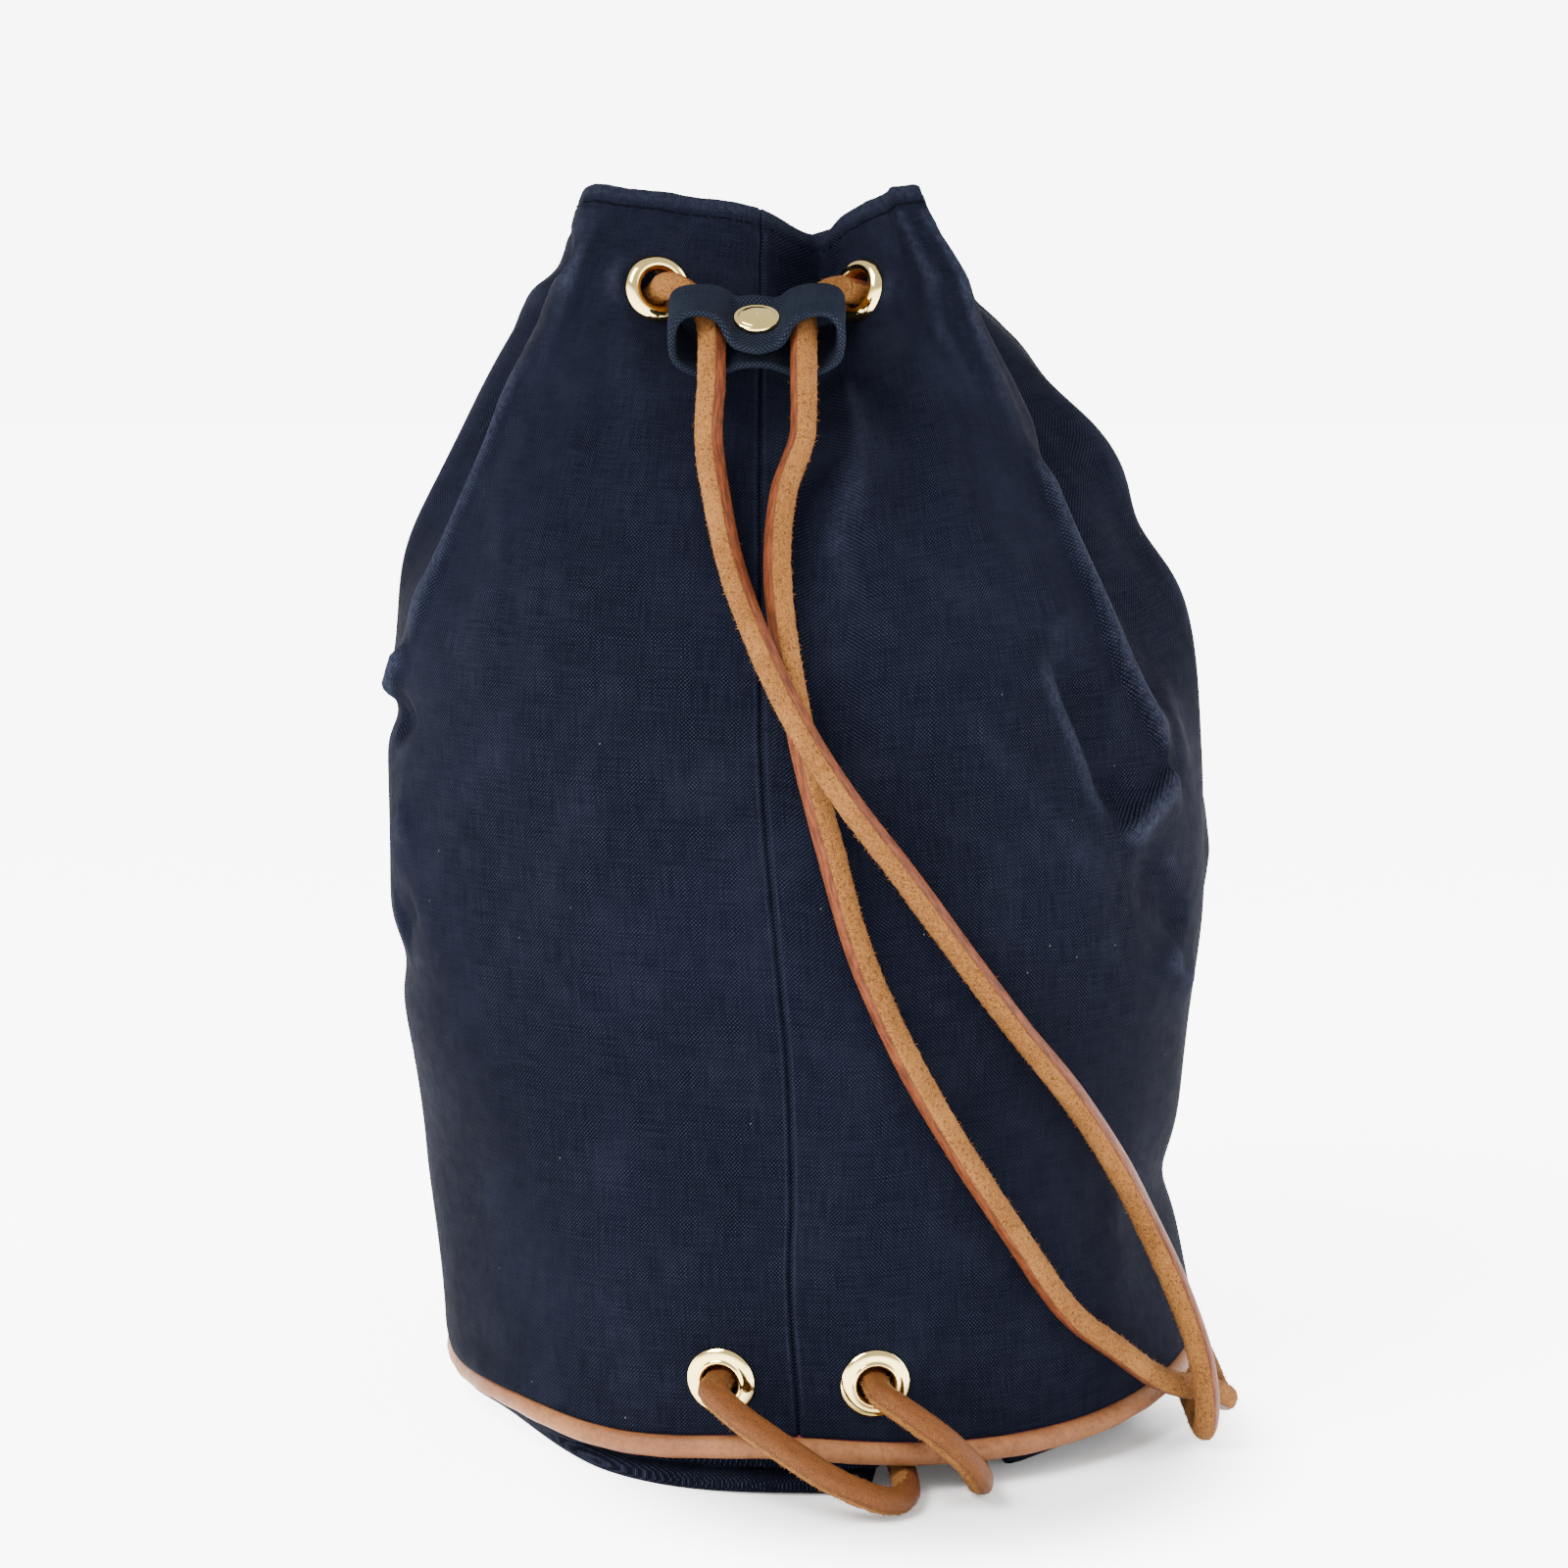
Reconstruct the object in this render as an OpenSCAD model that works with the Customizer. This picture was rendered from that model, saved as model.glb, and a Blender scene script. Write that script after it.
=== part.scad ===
// Drawstring bucket bag: a canvas tube gathered by a leather cord, on a soft round base.
// Millimetres. +Z up, the seam side faces -Y, and the base rests on Z = 0.

/* [Body] */
// Half width of the round foot of the wall
foot_r = 90; // [88:0.5:92]
// Thickness of the outer canvas
canvas_t = 1.2; // [0.9:0.1:1.5]
// Thickness of the facing, lining and binding layers
lining_t = 0.8; // [0.6:0.1:0.9]
// Height of the wall's raw lower edge
foot_z = 11.7; // [11.6:0.1:12.5]
// Height at which the gathered neck begins to stand upright
neck_z = 258; // [256:1:260]
// Height of the facing's lower edge inside the mouth
facing_z = 236; // [230:1:240]

/* [Eyelets] */
// Radius of an eyelet's hole
bore_r = 4; // [3.8:0.1:4.2]
// Outer radius of an eyelet's flange
flange_r = 7.5; // [7:0.1:7.8]
// Height of the mouth eyelets
eyelet_z = 259; // [256:1:260]
// Height of the two eyelets beside the seam at the foot
low_eyelet_z = 25; // [24:1:28]

/* [Cord] */
// Radius of the round leather cord
cord_r = 3; // [2.5:0.1:3]
// Number of sides of the cord tubes
cord_sides = 8; // [8:1:10]

/* [Keeper] */
// Height of the keeper band along the cords
keeper_h = 15; // [12:1:16]
// Thickness of the keeper's folded canvas
keeper_t = 1.7; // [1.4:0.1:1.9]
// Radius of the snap cap
snap_r = 5; // [4:0.5:5.5]

/* [Base] */
// Radius of the flat of the base that rests on the ground
rest_r = 70; // [66:1:74]
// Radius of the leather piping's round section
piping_r = 2.5; // [2:0.1:2.6]
// Height of the piping's centre
piping_z = 9; // [8.5:0.1:9.1]

/* [Hidden] */

navy = [0.11, 0.14, 0.23];
tan_leather = [0.72, 0.50, 0.32];
pale_gold = [0.86, 0.76, 0.50];
lining_grey = [0.25, 0.27, 0.33];

// The wall's columns, anticlockwise from the seam. Each is: its angle on the round belly, its x and y in
// the gathered neck, the height where its fold starts, how late the fold deepens, and its rim height.
COLUMNS = [
    [-94.5, -9, -34, 185, 1.5, 276.5],
    [-86, 5, -17, 192, 1.7, 271.5],
    [-78, 13, -30, 182, 1.5, 276],
    [-60, 26, -42, 170, 1.3, 280.5],
    [-42, 36, -43, 158, 1.1, 281],
    [-28, 38, -30, 150, 1.2, 280],
    [-21, 28, -15, 150, 1.2, 276],
    [-12, 14, -3, 150, 1.3, 272],
    [-2, 28, 9, 155, 1.6, 276],
    [9, 45, 20, 165, 2.1, 280],
    [25, 51, 40, 165, 2.2, 281],
    [48, 38, 52, 165, 2, 280],
    [68, 14, 38, 175, 1.8, 276],
    [90, -7, 19, 190, 1.8, 272],
    [112, -28, 38, 175, 1.8, 276],
    [132, -51, 52, 165, 2, 280],
    [155, -66, 40, 165, 2.2, 281],
    [171, -62, 22, 165, 2.1, 280],
    [181, -46, 10, 165, 1.6, 276],
    [190, -32, 0, 165, 1.5, 272],
    [197, -44, -12, 168, 1.4, 276],
    [202, -55, -27, 170, 1.3, 280],
    [209, -54, -42, 172, 1.3, 281],
    [228, -43, -47, 178, 1.4, 280.5],
    [246, -31, -45, 182, 1.5, 279]
];
column_count = len(COLUMNS);
neck_x = -9;
rim_draw = 0.16;
rim_rise = 19;

// Column positions of the eight mouth eyelets and the two at the foot
EYELET_COLUMNS = [24, 20, 18, 14, 12, 8, 6, 2];
LOW_COLUMNS = [-0.5, 1.54];

function column(i) =
    let(k = COLUMNS[(i % column_count + column_count) % column_count])
    [k[0] + 360 * floor(i / column_count), k[1], k[2], k[3], k[4], k[5]];

function between(a, b, c, d, t) =
    b + 0.5 * t * (c - a + t * (2 * a - 5 * b + 4 * c - d + t * (3 * (b - c) + d - a)));

function column_at(c) =
    let(i = floor(c))
    between(column(i - 1), column(i), column(i + 1), column(i + 2), c - i);

function smooth(t) = let(s = min(1, max(0, t))) s * s * (3 - 2 * s);

function belly_x(z) = foot_r - 1.5 * smooth((z - 12) / 36) + 8.5 * smooth((z - 48) / 72);
function belly_y(z) = 2 * foot_r - belly_x(z);
function belly_centre(z) = 5 * (1 - smooth((z - 12) / 45)) - smooth((z - 60) / 60);

function fold_raw(k, z) = pow(min(1, max(0, (z - k[3]) / (neck_z - k[3]))), k[4]);
function fold(k, z) = (fold_raw(k, z - 6) + fold_raw(k, z) + fold_raw(k, z + 6)) / 3;

// A point of the wall's outer face at column c and height z
function wall(c, z) =
    let(
        k = column_at(c),
        w = fold(k, z),
        bx = belly_centre(z) + belly_x(z) * cos(k[0]),
        by = belly_y(z) * sin(k[0]),
        x = bx + (k[1] - bx) * w,
        y = by + (k[2] - by) * w,
        s = 1 - rim_draw * max(0, z - neck_z - 4) / rim_rise
    )
    [neck_x + (x - neck_x) * s, y * s, z];

function unit(v) = v / norm(v);

function wall_normal(c, z) =
    unit(cross(wall(c + 0.05, z) - wall(c - 0.05, z), wall(c, z + 2) - wall(c, z - 2)));

function flat_normal(c, z) =
    let(d = wall(c + 0.1, z) - wall(c - 0.1, z))
    unit([d[1], -d[0], 0]);

// A point at a depth below the wall's outer face
function under_wall(c, z, depth) = wall(c, z) - depth * flat_normal(c, z);

function rim(c) = column_at(c)[5];

// Height of a row of the wall at column c: even rows up to the facing's edge, then even rows to the rim
low_rows = 14;
top_rows = 4;
function row_z(c, j) =
    j <= low_rows
        ? foot_z + (facing_z - foot_z) * j / low_rows
        : facing_z + (rim(c) - facing_z) * (j - low_rows) / top_rows;

// One closed skin of the wall between two depths, from row j0 to row j1. It goes all the way round, or
// covers the thirds of a column from t0 to t1.
module wall_skin(depth_a, depth_b, j0, j1, t0 = 0, t1 = undef) {
    round_trip = is_undef(t1);
    n = round_trip ? 3 * column_count : t1 - t0 + 1;
    rows = j1 - j0;
    points = [
        for (depth = [depth_a, depth_b])
            for (j = [j0:j1])
                for (i = [0:n - 1])
                    let(c = (t0 + i) / 3)
                    under_wall(c, row_z(c, j), depth)
    ];
    function at(s, j, i) = s * (rows + 1) * n + j * n + (i % n);
    cells = round_trip ? n - 1 : n - 2;
    outer = [
        for (j = [0:rows - 1])
            for (i = [0:cells])
                for (f = [
                    [at(0, j, i), at(0, j + 1, i), at(0, j, i + 1)],
                    [at(0, j, i + 1), at(0, j + 1, i), at(0, j + 1, i + 1)]
                ]) f
    ];
    inner = [
        for (j = [0:rows - 1])
            for (i = [0:cells])
                for (f = [
                    [at(1, j, i), at(1, j, i + 1), at(1, j + 1, i)],
                    [at(1, j, i + 1), at(1, j + 1, i + 1), at(1, j + 1, i)]
                ]) f
    ];
    edges = [
        for (i = [0:cells])
            for (f = [
                [at(0, 0, i), at(0, 0, i + 1), at(1, 0, i)],
                [at(0, 0, i + 1), at(1, 0, i + 1), at(1, 0, i)],
                [at(0, rows, i), at(1, rows, i), at(0, rows, i + 1)],
                [at(0, rows, i + 1), at(1, rows, i), at(1, rows, i + 1)]
            ]) f
    ];
    sides = round_trip ? [] : [
        for (j = [0:rows - 1])
            for (f = [
                [at(0, j, 0), at(1, j, 0), at(0, j + 1, 0)],
                [at(0, j + 1, 0), at(1, j, 0), at(1, j + 1, 0)],
                [at(0, j, n - 1), at(0, j + 1, n - 1), at(1, j, n - 1)],
                [at(0, j + 1, n - 1), at(1, j + 1, n - 1), at(1, j, n - 1)]
            ]) f
    ];
    polyhedron(points = points, faces = concat(outer, inner, edges, sides), convexity = 8);
}

// Places its children at a point of the wall, with +Z pointing out of the cloth
module on_wall(c, z) {
    n = wall_normal(c, z);
    translate(wall(c, z))
        rotate([0, 0, atan2(n[0], -n[1])])
            rotate([90 - asin(n[2]), 0, 0])
                children();
}

module each_eyelet() {
    for (c = EYELET_COLUMNS) on_wall(c, eyelet_z) children();
}

module each_low_eyelet() {
    for (c = LOW_COLUMNS) on_wall(c, low_eyelet_z) children();
}

seat_r = flange_r + 0.7;
hole_r = bore_r + 0.6;

module ring(r_in, r_out, z0, z1) {
    rotate_extrude($fn = 48)
        translate([r_in, z0])
            square([r_out - r_in, z1 - z0]);
}

module eyelet_holes(r) {
    each_eyelet() translate([0, 0, -7]) cylinder(h = 14, r = r, $fn = 48);
}

// The gathered wall, with a flat round seat under each mouth eyelet
module body_canvas() {
    color(navy)
        difference() {
            union() {
                difference() {
                    wall_skin(0, canvas_t, 0, low_rows + top_rows);
                    eyelet_holes(seat_r);
                }
                each_eyelet() ring(hole_r, seat_r + 0.3, -canvas_t, 0);
            }
            each_low_eyelet() translate([0, 0, -7]) cylinder(h = 14, r = hole_r, $fn = 48);
        }
}

facing_depth = canvas_t + 0.25;

// The second layer inside the mouth, cut clear of the eyelets' seats
module mouth_facing() {
    color(navy)
        difference() {
            wall_skin(facing_depth, facing_depth + lining_t, low_rows, low_rows + top_rows);
            eyelet_holes(seat_r + 0.5);
        }
}

// Tape over the seam allowance, inside the wall
module seam_binding() {
    color(navy)
        wall_skin(facing_depth, facing_depth + lining_t, 1, low_rows - 1, t0 = -1, t1 = 1);
}

base_x = 5;
base_rise = 6.4;
base_wall_r = foot_r - 3.6;
seam_top_z = 16.5;
tunnel_x = 30;
tunnel_half = 13;
tunnel_foot = 17;
tunnel_z = 6.8;

// The space above the base's underside when that is raised by a depth
module base_space(depth, top) {
    r0 = rest_r - 0.3 * depth;
    r1 = base_wall_r - depth;
    translate([base_x, 0, 0])
        rotate_extrude($fn = 96)
            polygon([[0, depth], [r0, depth], [r1, base_rise + depth], [r1, top], [0, top]]);
}

// The raised channel across the base, where the cloth drapes over the two cords
module base_tunnel(depth) {
    z = tunnel_z + depth;
    foot = tunnel_foot + depth;
    half = tunnel_half + 0.6 * depth;
    translate([tunnel_x, 120, 0])
        rotate([90, 0, 0])
            linear_extrude(height = 240)
                polygon([[-foot, -1], [-foot, depth], [-half, z], [half, z], [foot, depth], [foot, -1]]);
}

module base_layer(depth_a, depth_b, top) {
    difference() {
        base_space(depth_a, top);
        base_space(depth_b, top + 1);
        base_tunnel(depth_a);
    }
    intersection() {
        difference() {
            base_tunnel(depth_b);
            base_tunnel(depth_a);
        }
        base_space(depth_a, top);
    }
}

module base_canvas() {
    color(navy) base_layer(0, canvas_t, seam_top_z);
}

stiffener_a = canvas_t + 0.1;
stiffener_b = stiffener_a + 1.5;

module base_stiffener() {
    color(lining_grey) base_layer(stiffener_a, stiffener_b, 10.2);
}

module base_lining() {
    color(lining_grey) base_layer(stiffener_b + 0.1, stiffener_b + 0.1 + lining_t, seam_top_z - 1);
}

// Bias tape that wraps the base seam allowances
module base_binding() {
    binding_in = base_wall_r - canvas_t - stiffener_b - 1.6;
    color(navy)
        translate([base_x, 0, 0])
            ring(binding_in, binding_in + lining_t, 12.4, seam_top_z + 0.4);
}

piping_ring_r = foot_r - 0.3;

module piping_leather() {
    color(tan_leather)
        translate([base_x, 0, 0])
            difference() {
                union() {
                    rotate_extrude($fn = 120)
                        translate([piping_ring_r, piping_z]) circle(r = piping_r, $fn = 24);
                    ring(foot_r - 3.3, foot_r - 2.4, piping_z, seam_top_z);
                }
                rotate_extrude($fn = 120)
                    translate([piping_ring_r, piping_z]) circle(r = piping_r - 1, $fn = 24);
            }
}

module piping_core() {
    color(lining_grey)
        translate([base_x, 0, 0])
            rotate_extrude($fn = 120)
                translate([piping_ring_r, piping_z]) circle(r = piping_r - 1.05, $fn = 24);
}

patch_depth = facing_depth + lining_t + 0.2;

// Doubling piece that spreads the strap's load around the two foot eyelets
module strap_patch() {
    color(navy)
        difference() {
            wall_skin(patch_depth, patch_depth + lining_t, 0.5, 2.5, t0 = -4, t1 = 7);
            each_low_eyelet() translate([0, 0, -7]) cylinder(h = 14, r = hole_r, $fn = 48);
        }
}

// A two-part eyelet: domed flange outside, barrel through the cloth, lip rolled over the washer
module eyelet(depth) {
    color(pale_gold)
        rotate_extrude($fn = 64)
            polygon([
                [bore_r, 0.6], [bore_r + 0.6, 1.3], [bore_r + 1.6, 1.6], [flange_r - 0.9, 1.2],
                [flange_r, 0.3], [flange_r, 0.05], [bore_r + 0.5, 0.05], [bore_r + 0.5, -depth - 0.7],
                [bore_r + 1.7, -depth - 0.75], [bore_r + 1.6, -depth - 1.3], [bore_r + 0.5, -depth - 1.6],
                [bore_r, -depth - 1.2]
            ]);
}

module washer(depth) {
    color(pale_gold) ring(hole_r, flange_r, -depth - 0.6, -depth - 0.05);
}

mouth_depth = canvas_t;
low_depth = canvas_t + 2.8;

module mouth_eyelet(i) {
    on_wall(EYELET_COLUMNS[i - 1], eyelet_z) eyelet(mouth_depth);
}

module mouth_washer(i) {
    on_wall(EYELET_COLUMNS[i - 1], eyelet_z) washer(mouth_depth);
}

module foot_eyelet(i) {
    on_wall(LOW_COLUMNS[i], low_eyelet_z) translate([0, 0, 0.3]) eyelet(low_depth);
}

module foot_washer(i) {
    on_wall(LOW_COLUMNS[i], low_eyelet_z) translate([0, 0, 0.3]) washer(low_depth);
}

// The keeper slides round this bend of the two strap cords
bend_y = -49;
bend_z = 232;
bend_r = 22;
keeper_angle = 33;
keeper_x = -9.5;

// Places its children in the keeper's own frame: x across, y out of the band, z along the cords
module at_keeper() {
    translate([keeper_x, bend_y, bend_z])
        rotate([keeper_angle, 0, 0])
            translate([0, 0, bend_r])
                rotate([90, 0, 0])
                    children();
}

// The band's centre line across one loop, from the snap outwards and round to the back
LOOP = [
    [5.7, 1.4], [7.5, 3.9], [9.8, 5.6], [12.6, 5.9], [15.5, 4.7], [17.3, 2], [17.5, -1],
    [16.2, -4], [13.6, -5.8], [10, -6.2], [6.6, -5.3], [3.4, -4.3], [0, -4]
];
KEEPER_LINE = concat(LOOP, [for (i = [len(LOOP) - 2:-1:0]) [-LOOP[i][0], LOOP[i][1]]]);

function side(line, i) =
    let(
        a = line[max(0, i - 1)],
        b = line[min(len(line) - 1, i + 1)],
        d = (b - a) / norm(b - a)
    )
    [-d[1], d[0]];

module strip(line, thickness, height) {
    last = len(line) - 1;
    translate([0, 0, -height / 2])
        linear_extrude(height = height)
            polygon(concat(
                [for (i = [0:last]) line[i] + side(line, i) * thickness / 2],
                [for (i = [last:-1:0]) line[i] - side(line, i) * thickness / 2]
            ));
}

module keeper_band() {
    color(navy)
        at_keeper()
            difference() {
                strip(KEEPER_LINE, keeper_t, keeper_h);
                rotate([90, 0, 0]) cylinder(h = 12, r = 1.1, center = true, $fn = 32);
            }
}

module keeper_front() {
    color(navy)
        at_keeper()
            difference() {
                strip([[4.7, 1.2], [2.5, 0.6], [0, 0.5], [-2.5, 0.6], [-4.7, 1.2]], keeper_t, keeper_h);
                rotate([90, 0, 0]) cylinder(h = 12, r = 1.1, center = true, $fn = 32);
            }
}

// The snap's parts stack along the band's outward direction
module on_snap() {
    at_keeper() rotate([-90, 0, 0]) children();
}

module snap_cap() {
    color(pale_gold)
        on_snap()
            rotate_extrude($fn = 64)
                polygon([
                    [0, 0.6], [1, 0.6], [1, 2.3], [snap_r, 2.3], [snap_r, 2.7],
                    [snap_r - 0.6, 3.1], [2.4, 3.4], [0, 3.5]
                ]);
}

module snap_socket() {
    color(pale_gold)
        on_snap() ring(2.2, 4.4, -2.5, -0.5);
}

module snap_stud() {
    color(pale_gold)
        on_snap()
            rotate_extrude($fn = 48)
                polygon([
                    [0, -3], [4.2, -3], [4.2, -2.85], [1.7, -2.8], [1.7, -2.2], [1.9, -1.8],
                    [1.7, -1.2], [1, -0.9], [0, -0.9]
                ]);
}

module snap_post() {
    color(pale_gold)
        on_snap()
            rotate_extrude($fn = 48)
                polygon([[0, -3.05], [1, -3.05], [1, -5.4], [4, -5.4], [4, -5.8], [3.2, -6.1], [0, -6.1]]);
}

// The cord's route through the mouth eyelets, clockwise from inside the first to inside the last
MOUTH_ROUTE = [
    [-29.5, -47.5, 260], [-33, -39, 257], [-36, -28, 256.5], [-39, -16, 257.5], [-46.5, -9.5, 260],
    [-51.5, -1.5, 260.5], [-47.5, 7, 260], [-42, 15, 257.5], [-38, 24, 257], [-31.5, 32.5, 257.5],
    [-25.5, 40.5, 260], [-17, 45, 260], [-7, 46, 259.5], [3, 45, 260], [11.5, 40.5, 260],
    [17.5, 32.5, 257.5], [22, 23, 257], [24, 14, 257], [29.5, 6, 260], [34.5, -3, 260.5],
    [30, -12.5, 260], [23, -19.5, 257.5], [18, -25.5, 258], [10, -32, 259.5]
];

// The strap cord that leaves the first mouth eyelet
STRAP_A = [
    [-29.5, -47.5, 259.5], [-27.5, -51, 259.5], [-24, -53.5, 257.5], [-21, -56, 254.5],
    [-19.5, -60, 251], [-19, -64.5, 247.5], [-19, -68, 243], [-19, -70.5, 237.5], [-19.5, -71, 232],
    [-19.5, -71.5, 225], [-18, -76, 215], [-14.5, -83.5, 199.5], [-8, -93, 183], [0, -96, 167],
    [9.5, -95.5, 152], [21, -91.5, 136.5], [33, -85, 119.5], [46, -79.5, 101.5], [59, -73, 84.5],
    [69.5, -66, 68], [77, -60, 53.5], [84, -60.5, 38.5], [89, -62, 25], [91, -63.5, 14], [91.5, -60, 6],
    [92, -50, 3], [92, -35, 3], [92, -10, 3], [92, 16, 3], [90, 42, 3], [84, 64, 3], [73, 83, 3],
    [57, 94, 3], [45, 93, 3], [38.5, 82, 3], [38, 60, 3], [38, 16, 3], [38, -28, 3], [38, -60, 3],
    [38.5, -84, 3], [38.5, -94, 5], [36, -100.5, 10.5], [30.5, -102.5, 16.5], [23.5, -101.5, 21.5],
    [18, -98.5, 24.5], [16.5, -94, 25], [15, -82.5, 25.5]
];

// The strap cord that leaves the last mouth eyelet
STRAP_B = [
    [10, -32, 259.5], [7, -35, 259], [4.5, -39.5, 257.5], [2.5, -45, 256.5], [1.5, -50.5, 255.5],
    [0.5, -55.5, 253.5], [0.5, -60, 251], [0.5, -64.5, 247.5], [0.5, -68, 243], [0.5, -70.5, 237.5],
    [0.5, -71, 232], [0, -71.5, 226], [-4, -75.5, 214], [-5, -84.5, 197], [-2.5, -88, 178],
    [1, -88, 160], [6, -88, 141], [12, -88, 119.5], [20.5, -88.5, 99.5], [31.5, -88.5, 79.5],
    [45, -85, 58], [58, -78.5, 38], [70, -70.5, 26.5], [80, -62.5, 17.5], [88, -55, 13],
    [93.5, -48.5, 10.5], [98, -41.5, 6.5], [98.5, -31, 3], [98.5, -12, 3], [98.5, 12, 3], [98.5, 40, 3],
    [95.5, 70, 3], [84, 96, 3], [66, 112, 3], [46, 113, 3], [30, 102, 3], [22.5, 84, 3], [22, 60, 3],
    [22, 16, 3], [22, -28, 3], [22, -72, 3], [22.5, -96, 3], [17, -105, 4.5], [6, -106, 9.5],
    [-4.5, -103, 15.5], [-13, -99.5, 20.5], [-18.5, -96, 24.5], [-18.5, -92, 25], [-15.5, -81, 25.5]
];

module tube(route, r) {
    last = len(route) - 1;
    function heading(i) = unit(route[min(last, i + 1)] - route[max(0, i - 1)]);
    function across(i) =
        let(h = heading(i), up = abs(h[2]) < 0.9 ? [0, 0, 1] : [0, 1, 0])
        unit(cross(h, up));
    points = [
        for (i = [0:last])
            let(a = across(i), b = cross(heading(i), a))
            for (s = [0:cord_sides - 1])
                let(t = 360 * (s + 0.5) / cord_sides)
                route[i] + r * (cos(t) * a + sin(t) * b)
    ];
    walls = [
        for (i = [0:last - 1])
            for (s = [0:cord_sides - 1])
                let(p = i * cord_sides + s, q = i * cord_sides + (s + 1) % cord_sides)
                for (f = [[p, p + cord_sides, q], [q, p + cord_sides, q + cord_sides]]) f
    ];
    ends = [
        [for (s = [0:cord_sides - 1]) s],
        [for (s = [cord_sides - 1:-1:0]) last * cord_sides + s]
    ];
    polyhedron(points = points, faces = concat(walls, ends), convexity = 10);
}

module mouth_cord() {
    color(tan_leather) tube(MOUTH_ROUTE, cord_r);
}

module strap_cord_a() {
    color(tan_leather) tube(STRAP_A, cord_r);
}

module strap_cord_b() {
    color(tan_leather) tube(STRAP_B, cord_r);
}

module strap_knot(i) {
    color(tan_leather)
        on_wall(LOW_COLUMNS[i], low_eyelet_z)
            translate([0, 0, -low_depth - 9])
                sphere(r = 7, $fn = 32);
}

body_canvas();
mouth_facing();
seam_binding();
base_canvas();
base_stiffener();
base_lining();
base_binding();
piping_leather();
piping_core();
strap_patch();
for (i = [1:8]) {
    mouth_eyelet(i);
    mouth_washer(i);
}
foot_eyelet(0);  // foot_eyelet_left
foot_eyelet(1);  // foot_eyelet_right
foot_washer(0);  // foot_washer_left
foot_washer(1);  // foot_washer_right
keeper_band();
keeper_front();
snap_cap();
snap_socket();
snap_stud();
snap_post();
mouth_cord();
strap_cord_a();
strap_cord_b();
strap_knot(1);  // strap_knot_a
strap_knot(0);  // strap_knot_b
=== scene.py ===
"""Drawstring bucket bag: a gathered canvas tube on a piped round base, with a leather cord and a snap keeper."""
import math

import bpy
import numpy as np
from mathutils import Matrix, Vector


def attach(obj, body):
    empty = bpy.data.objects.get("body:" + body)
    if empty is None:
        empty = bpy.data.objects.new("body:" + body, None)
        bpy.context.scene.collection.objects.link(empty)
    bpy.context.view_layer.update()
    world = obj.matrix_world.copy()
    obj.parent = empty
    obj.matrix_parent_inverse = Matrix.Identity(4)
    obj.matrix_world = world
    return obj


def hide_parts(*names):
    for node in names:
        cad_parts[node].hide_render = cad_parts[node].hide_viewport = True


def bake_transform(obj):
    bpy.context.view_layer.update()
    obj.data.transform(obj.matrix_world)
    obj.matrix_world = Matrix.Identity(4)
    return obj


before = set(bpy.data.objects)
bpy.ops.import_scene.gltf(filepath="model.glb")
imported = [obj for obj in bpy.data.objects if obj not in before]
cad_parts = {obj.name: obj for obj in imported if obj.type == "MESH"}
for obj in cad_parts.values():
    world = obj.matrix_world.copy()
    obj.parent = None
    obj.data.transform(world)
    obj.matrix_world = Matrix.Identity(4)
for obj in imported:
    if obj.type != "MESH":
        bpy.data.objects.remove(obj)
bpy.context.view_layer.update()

MM = 0.001
UV_MM = 0.01  # one UV unit is 100 mm of cloth or cord
rng = np.random.default_rng(7)


# ---------------------------------------------------------------- the wall's shape, in millimetres

# The wall's columns, anticlockwise from the seam: angle on the round belly, x and y in the gathered neck,
# height where the fold starts, how late it deepens, and rim height.
COLUMNS = np.array([
    (-94.5, -9, -34, 185, 1.5, 276.5), (-86, 5, -17, 192, 1.7, 271.5), (-78, 13, -30, 182, 1.5, 276),
    (-60, 26, -42, 170, 1.3, 280.5), (-42, 36, -43, 158, 1.1, 281), (-28, 38, -30, 150, 1.2, 280),
    (-21, 28, -15, 150, 1.2, 276), (-12, 14, -3, 150, 1.3, 272), (-2, 28, 9, 155, 1.6, 276),
    (9, 45, 20, 165, 2.1, 280), (25, 51, 40, 165, 2.2, 281), (48, 38, 52, 165, 2.0, 280),
    (68, 14, 38, 175, 1.8, 276), (90, -7, 19, 190, 1.8, 272), (112, -28, 38, 175, 1.8, 276),
    (132, -51, 52, 165, 2.0, 280), (155, -66, 40, 165, 2.2, 281), (171, -62, 22, 165, 2.1, 280),
    (181, -46, 10, 165, 1.6, 276), (190, -32, 0, 165, 1.5, 272), (197, -44, -12, 168, 1.4, 276),
    (202, -55, -27, 170, 1.3, 280), (209, -54, -42, 172, 1.3, 281), (228, -43, -47, 178, 1.4, 280.5),
    (246, -31, -45, 182, 1.5, 279),
])
TURNS = len(COLUMNS)
FOOT_R, FOOT_Z, NECK_Z, NECK_X = 90.0, 11.7, 258.0, -9.0
RIM_DRAW, RIM_RISE = 0.16, 19.0
EYELET_COLUMNS = (24, 20, 18, 14, 12, 8, 6, 2)
LOW_COLUMNS = (-0.5, 1.54)
EYELET_Z, LOW_EYELET_Z = 259.0, 25.0
CANVAS_T, LINING_T = 1.2, 0.8
FACING_DEPTH = CANVAS_T + 0.25
PATCH_DEPTH = FACING_DEPTH + LINING_T + 0.2
LOW_DEPTH = CANVAS_T + 2.8
BORE_R, FLANGE_R = 4.0, 7.5
CORD_R = 3.0
BASE_X = 5.0


def smooth(t):
    s = np.clip(t, 0, 1)
    return s * s * (3 - 2 * s)


def between(a, b, c, d, t):
    """Catmull-Rom between b and c."""
    return b + 0.5 * t * (c - a + t * (2 * a - 5 * b + 4 * c - d + t * (3 * (b - c) + d - a)))


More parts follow.
